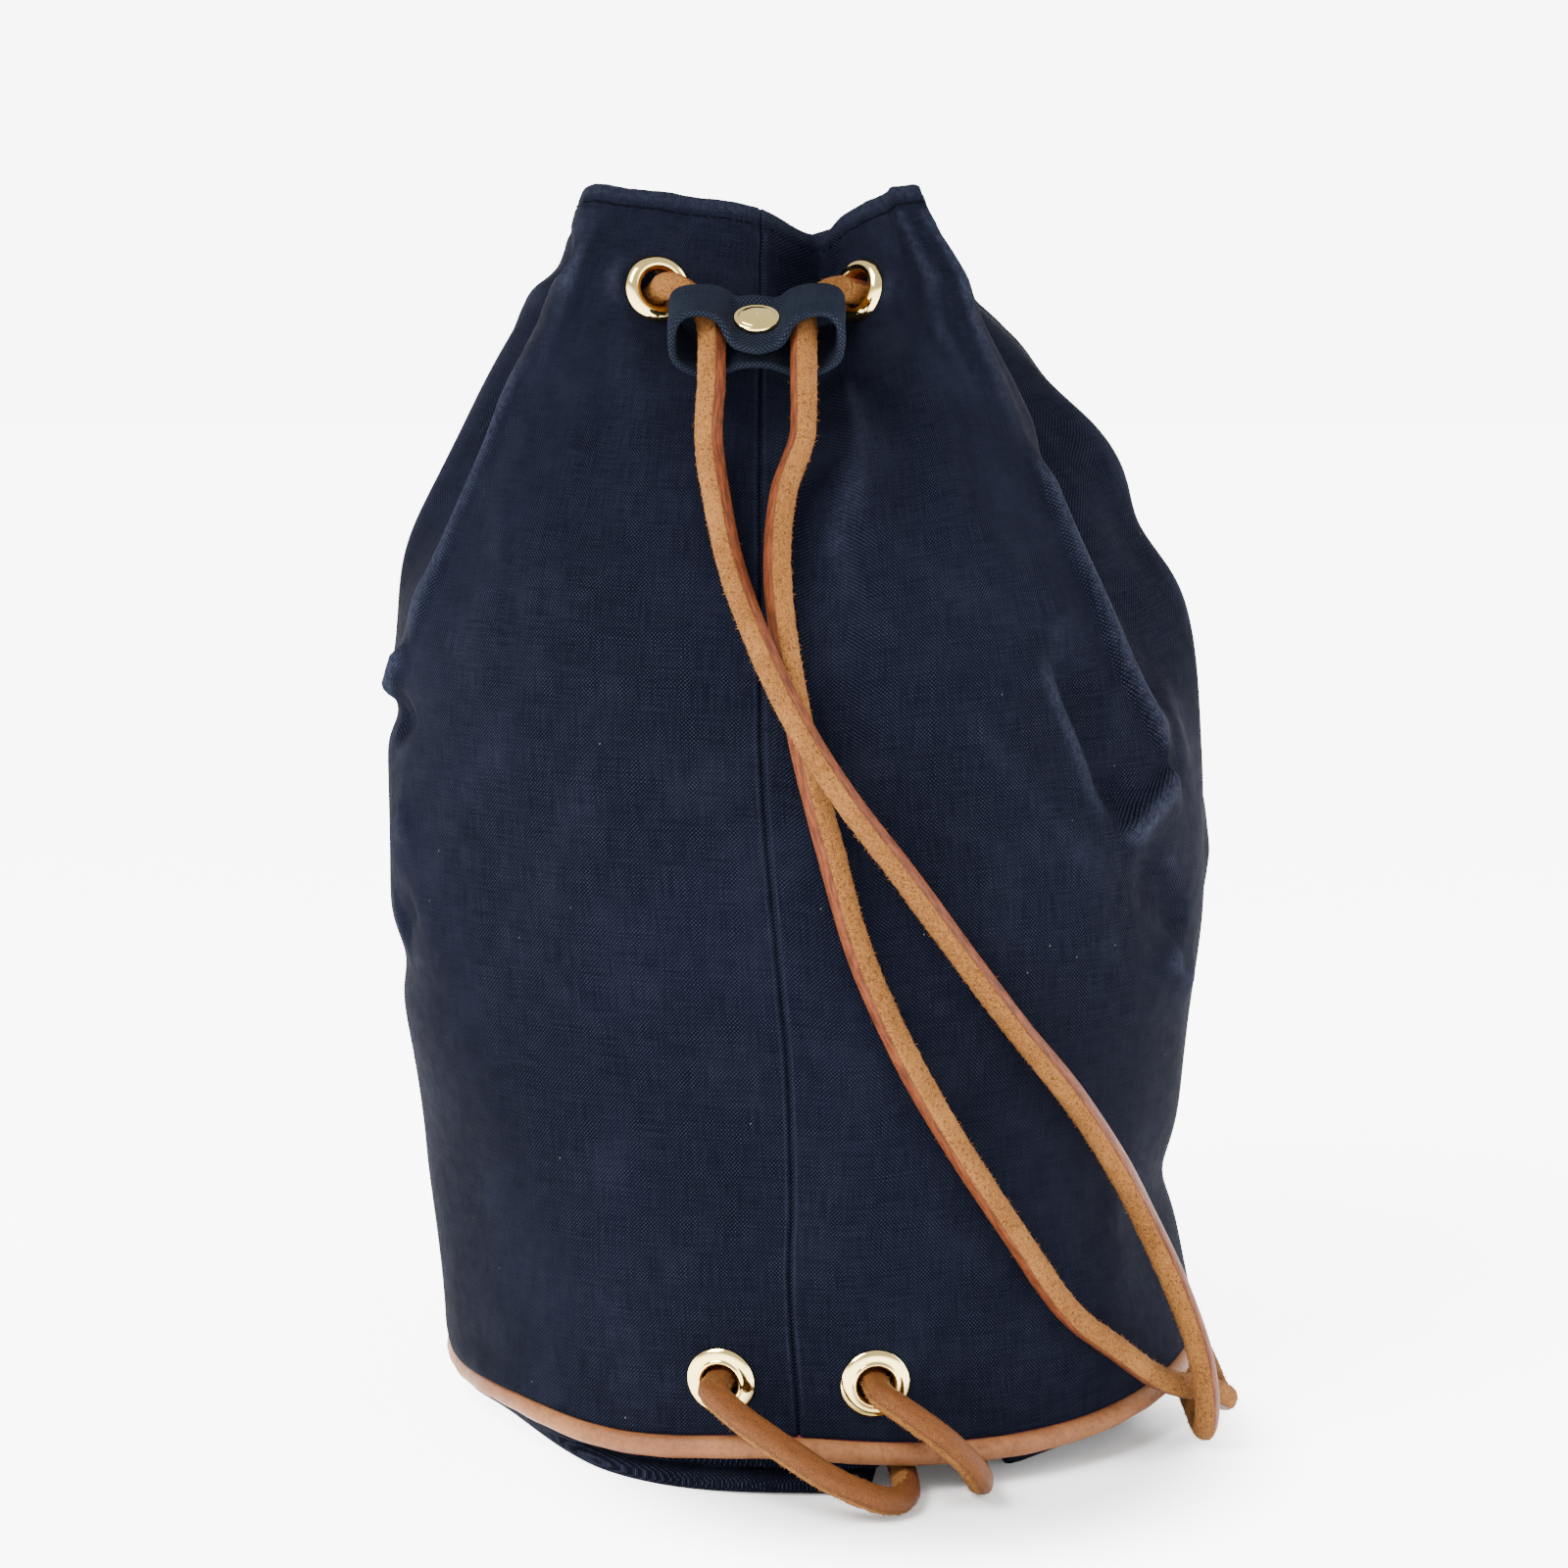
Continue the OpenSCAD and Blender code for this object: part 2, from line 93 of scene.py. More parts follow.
def column_at(c):
    c = np.asarray(c, float)
    i = np.floor(c).astype(int)
    t = (c - i)[..., None]

    def key(k):
        row = COLUMNS[k % TURNS].copy()
        row[..., 0] += 360 * (k // TURNS)
        return row

    return between(key(i - 1), key(i), key(i + 1), key(i + 2), t)


def wall(c, z):
    """Points of the wall's outer face at columns c and heights z."""
    k = column_at(c)
    z = np.asarray(z, float)
    a = FOOT_R - 1.5 * smooth((z - 12) / 36) + 8.5 * smooth((z - 48) / 72)
    centre = 5 * (1 - smooth((z - 12) / 45)) - smooth((z - 60) / 60)
    angle = np.radians(k[..., 0])
    bx = centre + a * np.cos(angle)
    by = (2 * FOOT_R - a) * np.sin(angle)
    w = 0
    for step in (-6, 0, 6):
        w = w + np.clip((z + step - k[..., 3]) / (NECK_Z - k[..., 3]), 0, 1) ** k[..., 4] / 3
    x = bx + (k[..., 1] - bx) * w
    y = by + (k[..., 2] - by) * w
    s = 1 - RIM_DRAW * np.maximum(0, z - NECK_Z - 4) / RIM_RISE
    return np.stack([NECK_X + (x - NECK_X) * s, y * s, z + 0 * x], -1)


def unit(v):
    v = np.asarray(v, float)
    return v / np.maximum(np.linalg.norm(v, axis=-1, keepdims=True), 1e-9)


def wall_normal(c, z):
    return unit(np.cross(wall(c + 0.05, z) - wall(c - 0.05, z), wall(c, z + 2.0) - wall(c, z - 2.0)))


def rim(c):
    return column_at(c)[..., 5]


# Fabric width in millimetres from the seam to each column, measured round the belly
_c = np.linspace(0, TURNS, 2001)
_p = wall(_c, 140.0)
_s = np.concatenate([[0], np.cumsum(np.linalg.norm(np.diff(_p, axis=0), axis=1))])
CLOTH_W = _s[-1]


def width_at(c):
    c = np.asarray(c, float)
    return np.interp(c % TURNS, _c, _s) + CLOTH_W * np.floor(c / TURNS)


def column_for(width):
    return np.interp(np.asarray(width) % CLOTH_W, _s, _c)


def waves(seed, count, lengths, power=1.0):
    """Smooth periodic noise over (width, height): a sum of waves, of unit size at most."""
    r = np.random.default_rng(seed)
    terms = []
    for _ in range(count):
        length = r.uniform(*lengths)
        heading = r.uniform(0, math.tau)
        n = round(CLOTH_W / length * math.cos(heading))
        terms.append((math.tau * n / CLOTH_W, math.tau * math.sin(heading) / length, r.uniform(0, math.tau)))

    def field(s, z):
        total = 0
        for kx, kz, phase in terms:
            total = total + np.sin(kx * s + kz * z + phase)
        return total / math.sqrt(count) * power

    return field


def along(s, z, points):
    """Distance from a polyline in (width, height), signed + on its left, and how far along it, 0 to 1."""
    best = np.full(np.shape(s), 1e9)
    sign = np.zeros(np.shape(s))
    part = np.zeros(np.shape(s))
    pts = [(float(width_at(c)), float(h)) for c, h in points]
    for i, (a, b) in enumerate(zip(pts, pts[1:])):
        dx, dz = b[0] - a[0], b[1] - a[1]
        near = (s - a[0] + CLOTH_W / 2) % CLOTH_W - CLOTH_W / 2
        t = np.clip((near * dx + (z - a[1]) * dz) / (dx * dx + dz * dz), 0, 1)
        ex, ez = near - t * dx, z - a[1] - t * dz
        d = np.hypot(ex, ez)
        closer = d < best
        best = np.where(closer, d, best)
        sign = np.where(closer, np.sign(dx * ez - dz * ex), sign)
        part = np.where(closer, (i + t) / (len(pts) - 1), part)
    return best * sign, part


def fold_line(s, z, points, height, left, right, fade=0.25):
    """A ridge (or a valley, height < 0) along a polyline, with its own width on each side and faded ends."""
    d, t = along(s, z, points)
    w = np.where(d > 0, left, right)
    ends = smooth(t / fade) * smooth((1 - t) / fade) if fade else 1.0
    return height * ends * np.exp(-(d / w) ** 2)


# Creases of the photographed cloth: points as (column, height), size, and width on the left and the right
CREASES = (
    (((3.45, 186), (3.6, 170), (3.85, 153), (4.2, 138)), -5.8, 13.0, 3.4, 0.3),     # valley beside the knee
    (((4.1, 226), (4.25, 200), (4.4, 176), (4.95, 151)), 3.4, 8.0, 1.7, 0.15),      # edge of the front panel
    (((5.05, 152), (4.6, 146.5), (3.95, 137.5)), 2.8, 6.5, 2.4, 0.2),               # its fold back to the left
    (((7.4, 172), (6.2, 162), (5.1, 151)), 1.7, 7.0, 4.5, 0.3),
    (((5.0, 232), (5.2, 205), (5.5, 180), (5.6, 162)), -4.5, 7.0, 8.0, 0.25),       # hollow behind the edge
    (((4.15, 135), (5.1, 123), (6.1, 113)), -3.6, 4.0, 7.0, 0.3),
    (((4.7, 113), (5.6, 104), (6.8, 100)), 2.2, 6.0, 5.0, 0.3),
    (((2.3, 180), (2.85, 158), (3.4, 140), (3.95, 124)), 2.2, 9.0, 6.0, 0.3),       # swell below the valley
    (((21.3, 180), (20.6, 172), (19.8, 168)), 3.2, 3.0, 2.2, 0.25),                 # step on the left side
    (((21.7, 166), (20.9, 161), (20.2, 160)), -1.8, 3.5, 6.0, 0.25),
    (((21.9, 122), (21.0, 116), (20.2, 114)), -2.4, 5.5, 5.5, 0.3),
    (((21.9, 140), (21.0, 136), (20.2, 134)), 2.0, 8.0, 7.0, 0.3),
    (((22.1, 250), (22.0, 222), (21.9, 196), (21.5, 176)), 2.4, 2.0, 7.0, 0.2),     # edge beside the left gusset
    (((21.2, 240), (21.1, 214), (21.0, 190)), -3.0, 6.0, 6.0, 0.3),
    (((0.6, 246), (0.9, 228), (0.7, 206), (0.9, 186)), -2.6, 6.5, 5.5, 0.3),        # soft dimples below the keeper
    (((2.0, 248), (2.3, 226), (2.2, 204)), -1.9, 6.5, 6.5, 0.3),
    (((1.5, 246), (1.6, 226), (1.5, 204)), 1.2, 4.5, 4.5, 0.3),
    (((23.6, 246), (23.7, 224), (23.4, 196)), -2.2, 7.5, 7.5, 0.3),
    (((22.7, 240), (22.6, 214), (22.9, 190)), 1.4, 6.0, 8.0, 0.3),
    (((3.1, 250), (3.2, 228), (3.0, 204)), -1.5, 6.0, 6.0, 0.3),
    (((10.5, 200), (10.2, 170), (9.6, 148)), 2.4, 8.0, 4.0, 0.25),                  # the unseen back
    (((12.2, 206), (12.0, 184), (12.6, 160)), -3.0, 6.0, 8.0, 0.3),
    (((14.2, 212), (14.4, 186), (13.8, 158)), -2.6, 8.0, 6.0, 0.3),
    (((15.8, 206), (16.2, 176), (16.8, 150)), 2.3, 4.0, 8.0, 0.25),
    (((17.6, 172), (18.4, 156), (18.0, 140)), -3.0, 5.0, 6.0, 0.3),
    (((9.0, 150), (8.3, 128), (9.2, 104)), 1.8, 8.0, 5.0, 0.3),
)
UNDULATION = waves(11, 9, (55, 110), 0.75)
RIPPLE = waves(12, 10, (16, 34), 0.3)
GATHER = waves(13, 7, (19, 30), 1.0)


def cloth_offset(s, z):
    """How far the cloth stands out from the plain wall, in millimetres."""
    d = UNDULATION(s, z) * smooth((z - 14) / 30)
    d = d + RIPPLE(s, 0.4 * z) * (0.35 + 0.65 * smooth((z - 150) / 70))
    d = d + 0.55 * GATHER(s, 0.12 * z) * smooth((z - 205) / 45) * (1 - 0.5 * smooth((z - 266) / 10))
    d = d + 0.3 * RIPPLE(1.7 * s, 0.3 * z) * (1 - smooth((z - 12) / 16))
    for points, height, left, right, fade in CREASES:
        d = d + fold_line(s, z, points, height, left, right, fade)
    return d


def seam_offset(s, z):
    """The sewn seam: a sharp valley between two softly puckered edges."""
    near = (s + CLOTH_W / 2) % CLOTH_W - CLOTH_W / 2
    pucker = 0.7 + 0.3 * np.sin(z / 2.3) * np.sin(z / 7.9 + 1)
    valley = -0.85 * np.exp(-(near / 0.34) ** 2)
    shoulders = 0.05 * pucker * np.exp(-((np.abs(near) - 2.2) / 1.6) ** 2)
    lap = 0.08 * smooth((near + 0.4) / 0.8) * np.exp(-(near / 7) ** 2)
    return valley + shoulders + lap


def foot_lift(x, y):
    """How far the sewn foot waves up or down from its mean height, by the direction from the base's centre."""
    a = np.arctan2(y, x - BASE_X)
    lift = 1.4 * np.exp(-((a + 2.5) / 0.26) ** 2) - 1.0 * np.exp(-((a + 2.1) / 0.26) ** 2)
    lift = lift + 1.7 * np.exp(-((a + 1.69) / 0.25) ** 2) - 1.3 * np.exp(-((a + 1.02) / 0.42) ** 2)
    lift = lift + 3.2 * np.exp(-((a + 0.12) / 0.5) ** 2) - 0.8 * np.exp(-((np.abs(a) - 3.0) / 0.45) ** 2)
    return lift + 0.7 * np.sin(3 * a + 0.6) * smooth((a - 0.5) / 0.6) * smooth((2.9 - a) / 0.5)


class Seat:
    """Where an eyelet sits: its centre on the wall and the direction out of the cloth."""

    def __init__(self, c, z, proud=0.0):
        self.normal = wall_normal(float(c), z)
        self.centre = wall(float(c), z) + self.normal * proud
        self.across = unit(np.cross([0, 0, 1], self.normal))
        self.up = np.cross(self.normal, self.across)


MOUTH_SEATS = [Seat(c, EYELET_Z) for c in EYELET_COLUMNS]
LOW_SEATS = [Seat(c, LOW_EYELET_Z, 0.3) for c in LOW_COLUMNS]


# ---------------------------------------------------------------- mesh helpers

def piece(name, points, faces, material, uvs=None, body="bag", slot=None, stands_for=()):
    """A mesh piece from points in millimetres, with a UV pair for each point of each face."""
    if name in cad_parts:
        name = f"{name}_look"
    mesh = bpy.data.meshes.new(name)
    mesh.from_pydata((np.asarray(points) * MM).tolist(), [], [list(map(int, f)) for f in faces])
    if uvs is not None:
        layer = mesh.uv_layers.new(name="cloth")
        layer.data.foreach_set("uv", np.asarray(uvs, np.float32).ravel())
    mesh.materials.append(material)
    mesh.polygons.foreach_set("use_smooth", [True] * len(mesh.polygons))
    mesh.validate()
    obj = bpy.data.objects.new(name, mesh)
    bpy.context.scene.collection.objects.link(obj)
    if body:
        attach(obj, body)
    if stands_for:
        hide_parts(*stands_for)
    return obj


def grid_faces(rows, cols, wrap_rows, wrap_cols, keep=None):
    """Quads of a grid, outward for rows going up and columns going anticlockwise, and their corner cells."""
    j, i = np.meshgrid(np.arange(rows if wrap_rows else rows - 1),
                       np.arange(cols if wrap_cols else cols - 1), indexing="ij")
    j, i = j.ravel(), i.ravel()
    if keep is not None:
        kept = keep[j, i]
        j, i = j[kept], i[kept]
    corners = np.stack([np.stack([j, i]), np.stack([j, i + 1]), np.stack([j + 1, i + 1]), np.stack([j + 1, i])])
    index = (corners[:, 0] % rows) * cols + corners[:, 1] % cols
    return index.T, corners.transpose(2, 0, 1)


def grid_uvs(corners, u, v):
    """UVs for grid corners: u and v hold one more row and column than the grid where it wraps."""
    return np.stack([u[corners[..., 0], corners[..., 1]], v[corners[..., 0], corners[..., 1]]], -1)


def lathe(name, profile, seat, material, segments=96, **kw):
    """A turned piece about a seat's normal, from a profile of (radius, height) points, closed on itself."""
    prof = np.asarray(profile, float)
    t = np.linspace(0, math.tau, segments, endpoint=False)
    ring = np.cos(t)[None, :, None] * seat.across + np.sin(t)[None, :, None] * seat.up
    pts = seat.centre + prof[:, 0][:, None, None] * ring + prof[:, 1][:, None, None] * seat.normal
    faces, corners = grid_faces(len(prof), segments, True, True)
    run = np.concatenate([[0], np.cumsum(np.linalg.norm(np.diff(np.vstack([prof, prof[:1]]), axis=0), axis=1))])
    u, v = np.meshgrid(np.linspace(0, 1, segments + 1) * 0.4, run * UV_MM)
    return piece(name, pts.reshape(-1, 3), faces, material, grid_uvs(corners, u, v).reshape(-1, 2), **kw)


def rounded(points, radius=0.25, steps=5):
    """A closed outline with each corner turned into a small arc."""
    pts = [np.asarray(p, float) for p in points]
    out = []
    for a, b, c in zip(pts[-1:] + pts[:-1], pts, pts[1:] + pts[:1]):
        to_a, to_c = a - b, c - b
        cut = min(radius, 0.45 * np.linalg.norm(to_a), 0.45 * np.linalg.norm(to_c))
        p, q = b + unit(to_a) * cut, b + unit(to_c) * cut
        for k in range(steps):
            t = k / (steps - 1)
            out.append((1 - t) ** 2 * p + 2 * t * (1 - t) * b + t * t * q)
    return np.array(out)


def spline(points, step):
    """A smooth line through the points, resampled evenly."""
    p = np.asarray(points, float)
    p = np.vstack([2 * p[0] - p[1], p, 2 * p[-1] - p[-2]])
    fine = []
    for i in range(1, len(p) - 2):
        t = np.linspace(0, 1, 24, endpoint=False)[:, None]
        fine.append(between(p[i - 1], p[i], p[i + 1], p[i + 2], t))
    fine = np.vstack(fine + [p[-2:-1]])
    run = np.concatenate([[0], np.cumsum(np.linalg.norm(np.diff(fine, axis=0), axis=1))])
    at = np.linspace(0, run[-1], max(2, round(run[-1] / step) + 1))
    return np.stack([np.interp(at, run, fine[:, k]) for k in range(3)], 1), at


def carried_frame(path, seed_at, seed_dir):
    """Directions across a path that don't twist, equal to seed_dir at the point nearest seed_at."""
    tangent = unit(np.gradient(path, axis=0))
    side = np.zeros_like(path)
    k = int(np.argmin(np.linalg.norm(path - np.asarray(seed_at, float), axis=1)))

    def flat(v, t):
        return unit(v - t * np.dot(v, t))

    side[k] = flat(np.asarray(seed_dir, float), tangent[k])
    for i in range(k + 1, len(path)):
        side[i] = flat(side[i - 1], tangent[i])
    for i in range(k - 1, -1, -1):
        side[i] = flat(side[i + 1], tangent[i])
    return side, np.cross(tangent, side)


def twisted(side, other, run, start, stop, angle):
    """The same frame turned about the path by an angle that grows between two distances along it."""
    turn = (angle * smooth((run - start) / (stop - start)))[:, None]
    return np.cos(turn) * side + np.sin(turn) * other, np.cos(turn) * other - np.sin(turn) * side


def tube(name, path, run, side, other, radius, material, sides, extra=None, **kw):
    """A mesh tube. radius is an array of rings by sides; extra adds (points, faces, uvs), such as fibres."""
    t = np.linspace(0, math.tau, sides, endpoint=False) - math.pi
    ring = np.cos(t)[None, :, None] * side[:, None, :] + np.sin(t)[None, :, None] * other[:, None, :]
    pts = path[:, None, :] + radius[..., None] * ring
    rows = len(path)
    faces, corners = grid_faces(rows, sides, False, True)
    u, v = np.meshgrid(np.linspace(0, 1, sides + 1), run * UV_MM)
    uvs = grid_uvs(corners, u, v)
    flat = pts.reshape(-1, 3)
    points = np.vstack([flat, path[:1], path[-1:]])
    face_list = faces.tolist()
    uv_list = uvs.reshape(-1, 2).tolist()
    for end, tip in ((0, len(flat)), (rows - 1, len(flat) + 1)):
        for i in range(sides):
            a, b = end * sides + i, end * sides + (i + 1) % sides
            face_list.append([b, a, tip] if end == 0 else [a, b, tip])
            uv_list += [[0.1, run[end] * UV_MM]] * 3
    if extra:
        more_points, more_faces, more_uvs = extra
        face_list += [[k + len(points) for k in face] for face in more_faces]
        points = np.vstack([points, more_points])
        uv_list += np.asarray(more_uvs).tolist()
    return piece(name, points, face_list, material, uv_list, **kw)


# ---------------------------------------------------------------- material helpers

class Nodes:
    """A node tree with short calls for the nodes that the materials here need."""

    def __init__(self, name):
        self.material = bpy.data.materials.new(name)
        self.material.use_nodes = True
        self.tree = self.material.node_tree
        self.shader = self.tree.nodes["Principled BSDF"]

    def put(self, kind, **settings):
        node = self.tree.nodes.new(kind)
        for key, value in settings.items():
            setattr(node, key, value)
        return node

    def feed(self, socket, value):
        if isinstance(value, bpy.types.NodeSocket):
            self.tree.links.new(value, socket)
        else:
            socket.default_value = value

    def math(self, operation, a, b=0.0, c=0.0, clamp=False):
        node = self.put("ShaderNodeMath", operation=operation, use_clamp=clamp)
        for socket, value in zip(node.inputs, (a, b, c)):
            self.feed(socket, value)
        return node.outputs[0]

    def uv(self):
        """Cloth or cord coordinates in millimetres."""
        split = self.put("ShaderNodeSeparateXYZ")
        self.tree.links.new(self.put("ShaderNodeUVMap", uv_map="cloth").outputs[0], split.inputs[0])
        return split.outputs[0], split.outputs[1]

    def place(self):
        return self.put("ShaderNodeTexCoord").outputs["Object"]

    def vector(self, x, y, z=0.0):
        node = self.put("ShaderNodeCombineXYZ")
        for socket, value in zip(node.inputs, (x, y, z)):
            self.feed(socket, value)
        return node.outputs[0]

    def noise(self, scale, detail=3.0, roughness=0.55, vector=None, distortion=0.0):
        node = self.put("ShaderNodeTexNoise")
        node.inputs["Scale"].default_value = scale
        node.inputs["Detail"].default_value = detail
        node.inputs["Roughness"].default_value = roughness
        node.inputs["Distortion"].default_value = distortion
        self.tree.links.new(vector or self.place(), node.inputs["Vector"])
        return node.outputs["Fac"]

    def spots(self, scale, vector=None, feature="F1"):
        node = self.put("ShaderNodeTexVoronoi", feature=feature)
        node.inputs["Scale"].default_value = scale
        self.tree.links.new(vector or self.place(), node.inputs["Vector"])
        return node.outputs["Distance"]

    def ramp(self, value, low, high, start=0.0, end=1.0, soft=True):
        node = self.put("ShaderNodeMapRange", interpolation_type="SMOOTHSTEP" if soft else "LINEAR")
        self.feed(node.inputs["Value"], value)
        for key, number in (("From Min", low), ("From Max", high), ("To Min", start), ("To Max", end)):
            node.inputs[key].default_value = number
        return node.outputs["Result"]

    def mix(self, factor, a, b, blend="MIX"):
        node = self.put("ShaderNodeMix", data_type="RGBA", blend_type=blend)
        self.feed(node.inputs[0], factor)
        for socket, value in ((node.inputs[6], a), (node.inputs[7], b)):
            self.feed(socket, value if isinstance(value, bpy.types.NodeSocket) else (*value, 1.0))
        return node.outputs[2]

    def bump(self, height, distance_mm, strength=1.0, below=None):
        node = self.put("ShaderNodeBump")
        node.inputs["Strength"].default_value = strength
        node.inputs["Distance"].default_value = distance_mm * MM
        self.feed(node.inputs["Height"], height)
        if below is not None:
            self.tree.links.new(below, node.inputs["Normal"])
        return node.outputs[0]

    def finish(self, color, roughness, normal=None, **constants):
        self.feed(self.shader.inputs["Base Color"], color)
        self.feed(self.shader.inputs["Roughness"], roughness)
        if normal is not None:
            self.tree.links.new(normal, self.shader.inputs["Normal"])
        for key, value in constants.items():
            self.shader.inputs[key.replace("_", " ")].default_value = value
        return self.material


def canvas_material(name, dark, light, worn_and_highlight, pitch=0.87, contrast=0.75):
    """Plain-woven cotton canvas: staggered thread crossings, uneven yarns, faded patches and a few specks, with a
    painted highlight on the thread crowns and painted shade in the gaps between threads.
    """
    n = Nodes(name)
    u, v = n.uv()
    um, vm = n.math("MULTIPLY", u, 1 / UV_MM), n.math("MULTIPLY", v, 1 / UV_MM)
    wobble_u = n.math("MULTIPLY", n.math("SUBTRACT", n.noise(420, 2), 0.5), 0.34)
    wobble_v = n.math("MULTIPLY", n.math("SUBTRACT", n.noise(390, 2), 0.5), 0.34)
    warp = n.math("COSINE", n.math("MULTIPLY", n.math("ADD", um, wobble_u), math.tau / pitch))
    weft = n.math("COSINE", n.math("MULTIPLY", n.math("ADD", vm, wobble_v), math.tau / pitch))
    crossing = n.math("MULTIPLY", warp, weft)
    lattice = n.math("MULTIPLY_ADD", crossing, 0.5, 0.5)
    yarn = n.noise(1.0, 2, vector=n.vector(n.math("MULTIPLY", um, 1.9), n.math("MULTIPLY", vm, 0.12)))
    slub = n.noise(1.0, 2, vector=n.vector(n.math("MULTIPLY", um, 0.1), n.math("MULTIPLY", vm, 2.1), 4.0))
    thread = n.math("ADD", n.math("MULTIPLY", yarn, 0.5), n.math("MULTIPLY", slub, 0.5))
    fibre = n.noise(5200, 2)
    patch = n.noise(17, 4, 0.6)
    fade = n.noise(60, 3)
    base = n.mix(n.ramp(patch, 0.35, 0.66), dark, light)
    base = n.mix(n.math("MULTIPLY", n.ramp(fade, 0.45, 0.75), 0.05), base, worn_and_highlight)
    # Thread crowns are lightened towards the worn colour, partly the fade of worn yarn and partly a painted
    # highlight; the gaps between threads are darkened as painted shade
    crown_wear_and_highlight = n.math("MULTIPLY", n.math("POWER", lattice, 4.0), n.ramp(thread, 0.32, 0.68, 0.25, 1.0))
    base = n.mix(n.math("MULTIPLY", crown_wear_and_highlight, contrast), base, worn_and_highlight)
    # Painted shade: the gaps between the threads are darkened towards a third of the dark colour
    gap = n.math("MULTIPLY", n.ramp(lattice, 0.0, 0.35, 1.0, 0.0), 0.55)
    base = n.mix(gap, base, tuple(0.3 * q for q in dark))
    ridge = n.put("ShaderNodeAttribute", attribute_name="wear").outputs["Fac"]
    base = n.mix(n.math("MULTIPLY", ridge, n.ramp(n.noise(900, 3), 0.3, 0.7, 0.12, 0.4)), base, worn_and_highlight)
    lint = n.math("MULTIPLY", n.math("LESS_THAN", n.spots(190), 0.035), n.math("GREATER_THAN", n.noise(95, 1), 0.56))
    base = n.mix(n.math("MULTIPLY", lint, 0.12), base, (0.35, 0.33, 0.3))
    height = n.math("ADD", n.math("MULTIPLY", lattice, 0.7), n.math("MULTIPLY", thread, 0.5))
    height = n.math("ADD", height, n.math("MULTIPLY", fibre, 0.22))
    normal = n.bump(height, 0.16, 0.9)
    rough = n.ramp(n.noise(300, 2), 0.3, 0.7, 0.82, 0.96)
    return n.finish(base, rough, normal, Specular_IOR_Level=0.012)


def suede_cord_material(name, flesh_light, flesh_mid, flesh_dark, grain_light, grain_dark, grain_from,
                        half_width=0.115):
    """A cut leather cord: nappy suede all round but for one stripe of smooth, reddish grain."""
    n = Nodes(name)
    u, v = n.uv()
    around = n.math("ABSOLUTE", n.math("SUBTRACT", u, 0.5))
    # The grain side shows wider towards the knotted end, where the cut is flatter
    last = n.ramp(v, grain_from * UV_MM, (grain_from + 25) * UV_MM)
    around = n.math("MULTIPLY", around, n.ramp(last, 0.0, 1.0, 1.0, 0.5, soft=False))
    ragged = n.math("MULTIPLY", n.math("SUBTRACT", n.noise(1500, 3), 0.5), 0.045)
    grain = n.ramp(n.math("ADD", around, ragged), half_width - 0.012, half_width + 0.012, 1.0, 0.0)
    nap = n.noise(5200, 4, 0.7, distortion=0.4)
    tuft = n.noise(1.0, 4, 0.7, vector=n.vector(n.math("MULTIPLY", u, 46), n.math("MULTIPLY", v, 75)))
    streak = n.noise(1.0, 3, vector=n.vector(n.math("MULTIPLY", u, 26), n.math("MULTIPLY", v, 22)))
    flesh = n.mix(n.ramp(tuft, 0.30, 0.66), flesh_dark, flesh_mid)
    flesh = n.mix(n.math("MULTIPLY", n.ramp(nap, 0.47, 0.58), 0.7), flesh, flesh_light)
    flesh = n.mix(n.math("MULTIPLY", n.ramp(n.noise(70, 3), 0.45, 0.7), 0.3), flesh, flesh_light)
    flesh = n.mix(n.math("MULTIPLY", n.ramp(n.noise(1700, 2), 0.57, 0.66), 0.75), flesh, flesh_dark)
    skin = n.mix(n.ramp(streak, 0.35, 0.65), grain_dark, grain_light)
    skin = n.mix(n.math("MULTIPLY", n.ramp(n.noise(420, 4), 0.5, 0.72), 0.5), skin, flesh_dark)
    worn_skin = n.mix(n.ramp(nap, 0.42, 0.62), flesh_dark, flesh_mid)
    skin = n.mix(n.math("MULTIPLY", last, 0.75), skin, worn_skin)
    edge = n.math("MULTIPLY", n.ramp(n.math("ABSOLUTE", n.math("SUBTRACT", around, half_width)), 0.0, 0.02, 1.0, 0.0), 0.5)
    color = n.mix(edge, n.mix(grain, flesh, skin), tuple(0.5 * q for q in grain_dark))
    pores = n.spots(3400)
    rough_height = n.math("ADD", nap, n.math("MULTIPLY", tuft, 0.8))
    height = n.put("ShaderNodeMix", data_type="FLOAT")
    n.feed(height.inputs[0], grain)
    n.feed(height.inputs[2], rough_height)
    n.feed(height.inputs[3], n.math("ADD", n.math("MULTIPLY", pores, 0.5), 0.8))
    normal = n.bump(height.outputs[0], 0.22, 0.9)
    return n.finish(color, n.ramp(grain, 0.0, 1.0, 0.95, 0.5, soft=False), normal,
                    Specular_IOR_Level=0.07)


def leather_material(name, light, mid, dark, grain_scale=1500):
    """Smooth vegetable-tanned leather with pores, fine wrinkles and handling marks."""
    n = Nodes(name)
    blotch = n.noise(45, 4, 0.6)
    color = n.mix(n.ramp(blotch, 0.35, 0.68), mid, light)
    color = n.mix(n.math("MULTIPLY", n.ramp(n.noise(260, 4, 0.65), 0.48, 0.72), 0.55), color, dark)
    pebble = n.spots(grain_scale, feature="SMOOTH_F1")
    color = n.mix(n.math("MULTIPLY", n.ramp(pebble, 0.35, 0.75), 0.3), color, dark)
    height = n.math("ADD", pebble, n.math("MULTIPLY", n.noise(700, 4), 0.8))
    rough = n.ramp(n.noise(180, 3), 0.3, 0.7, 0.46, 0.66)
    return n.finish(color, rough, n.bump(height, 0.12, 0.7), Specular_IOR_Level=0.12)


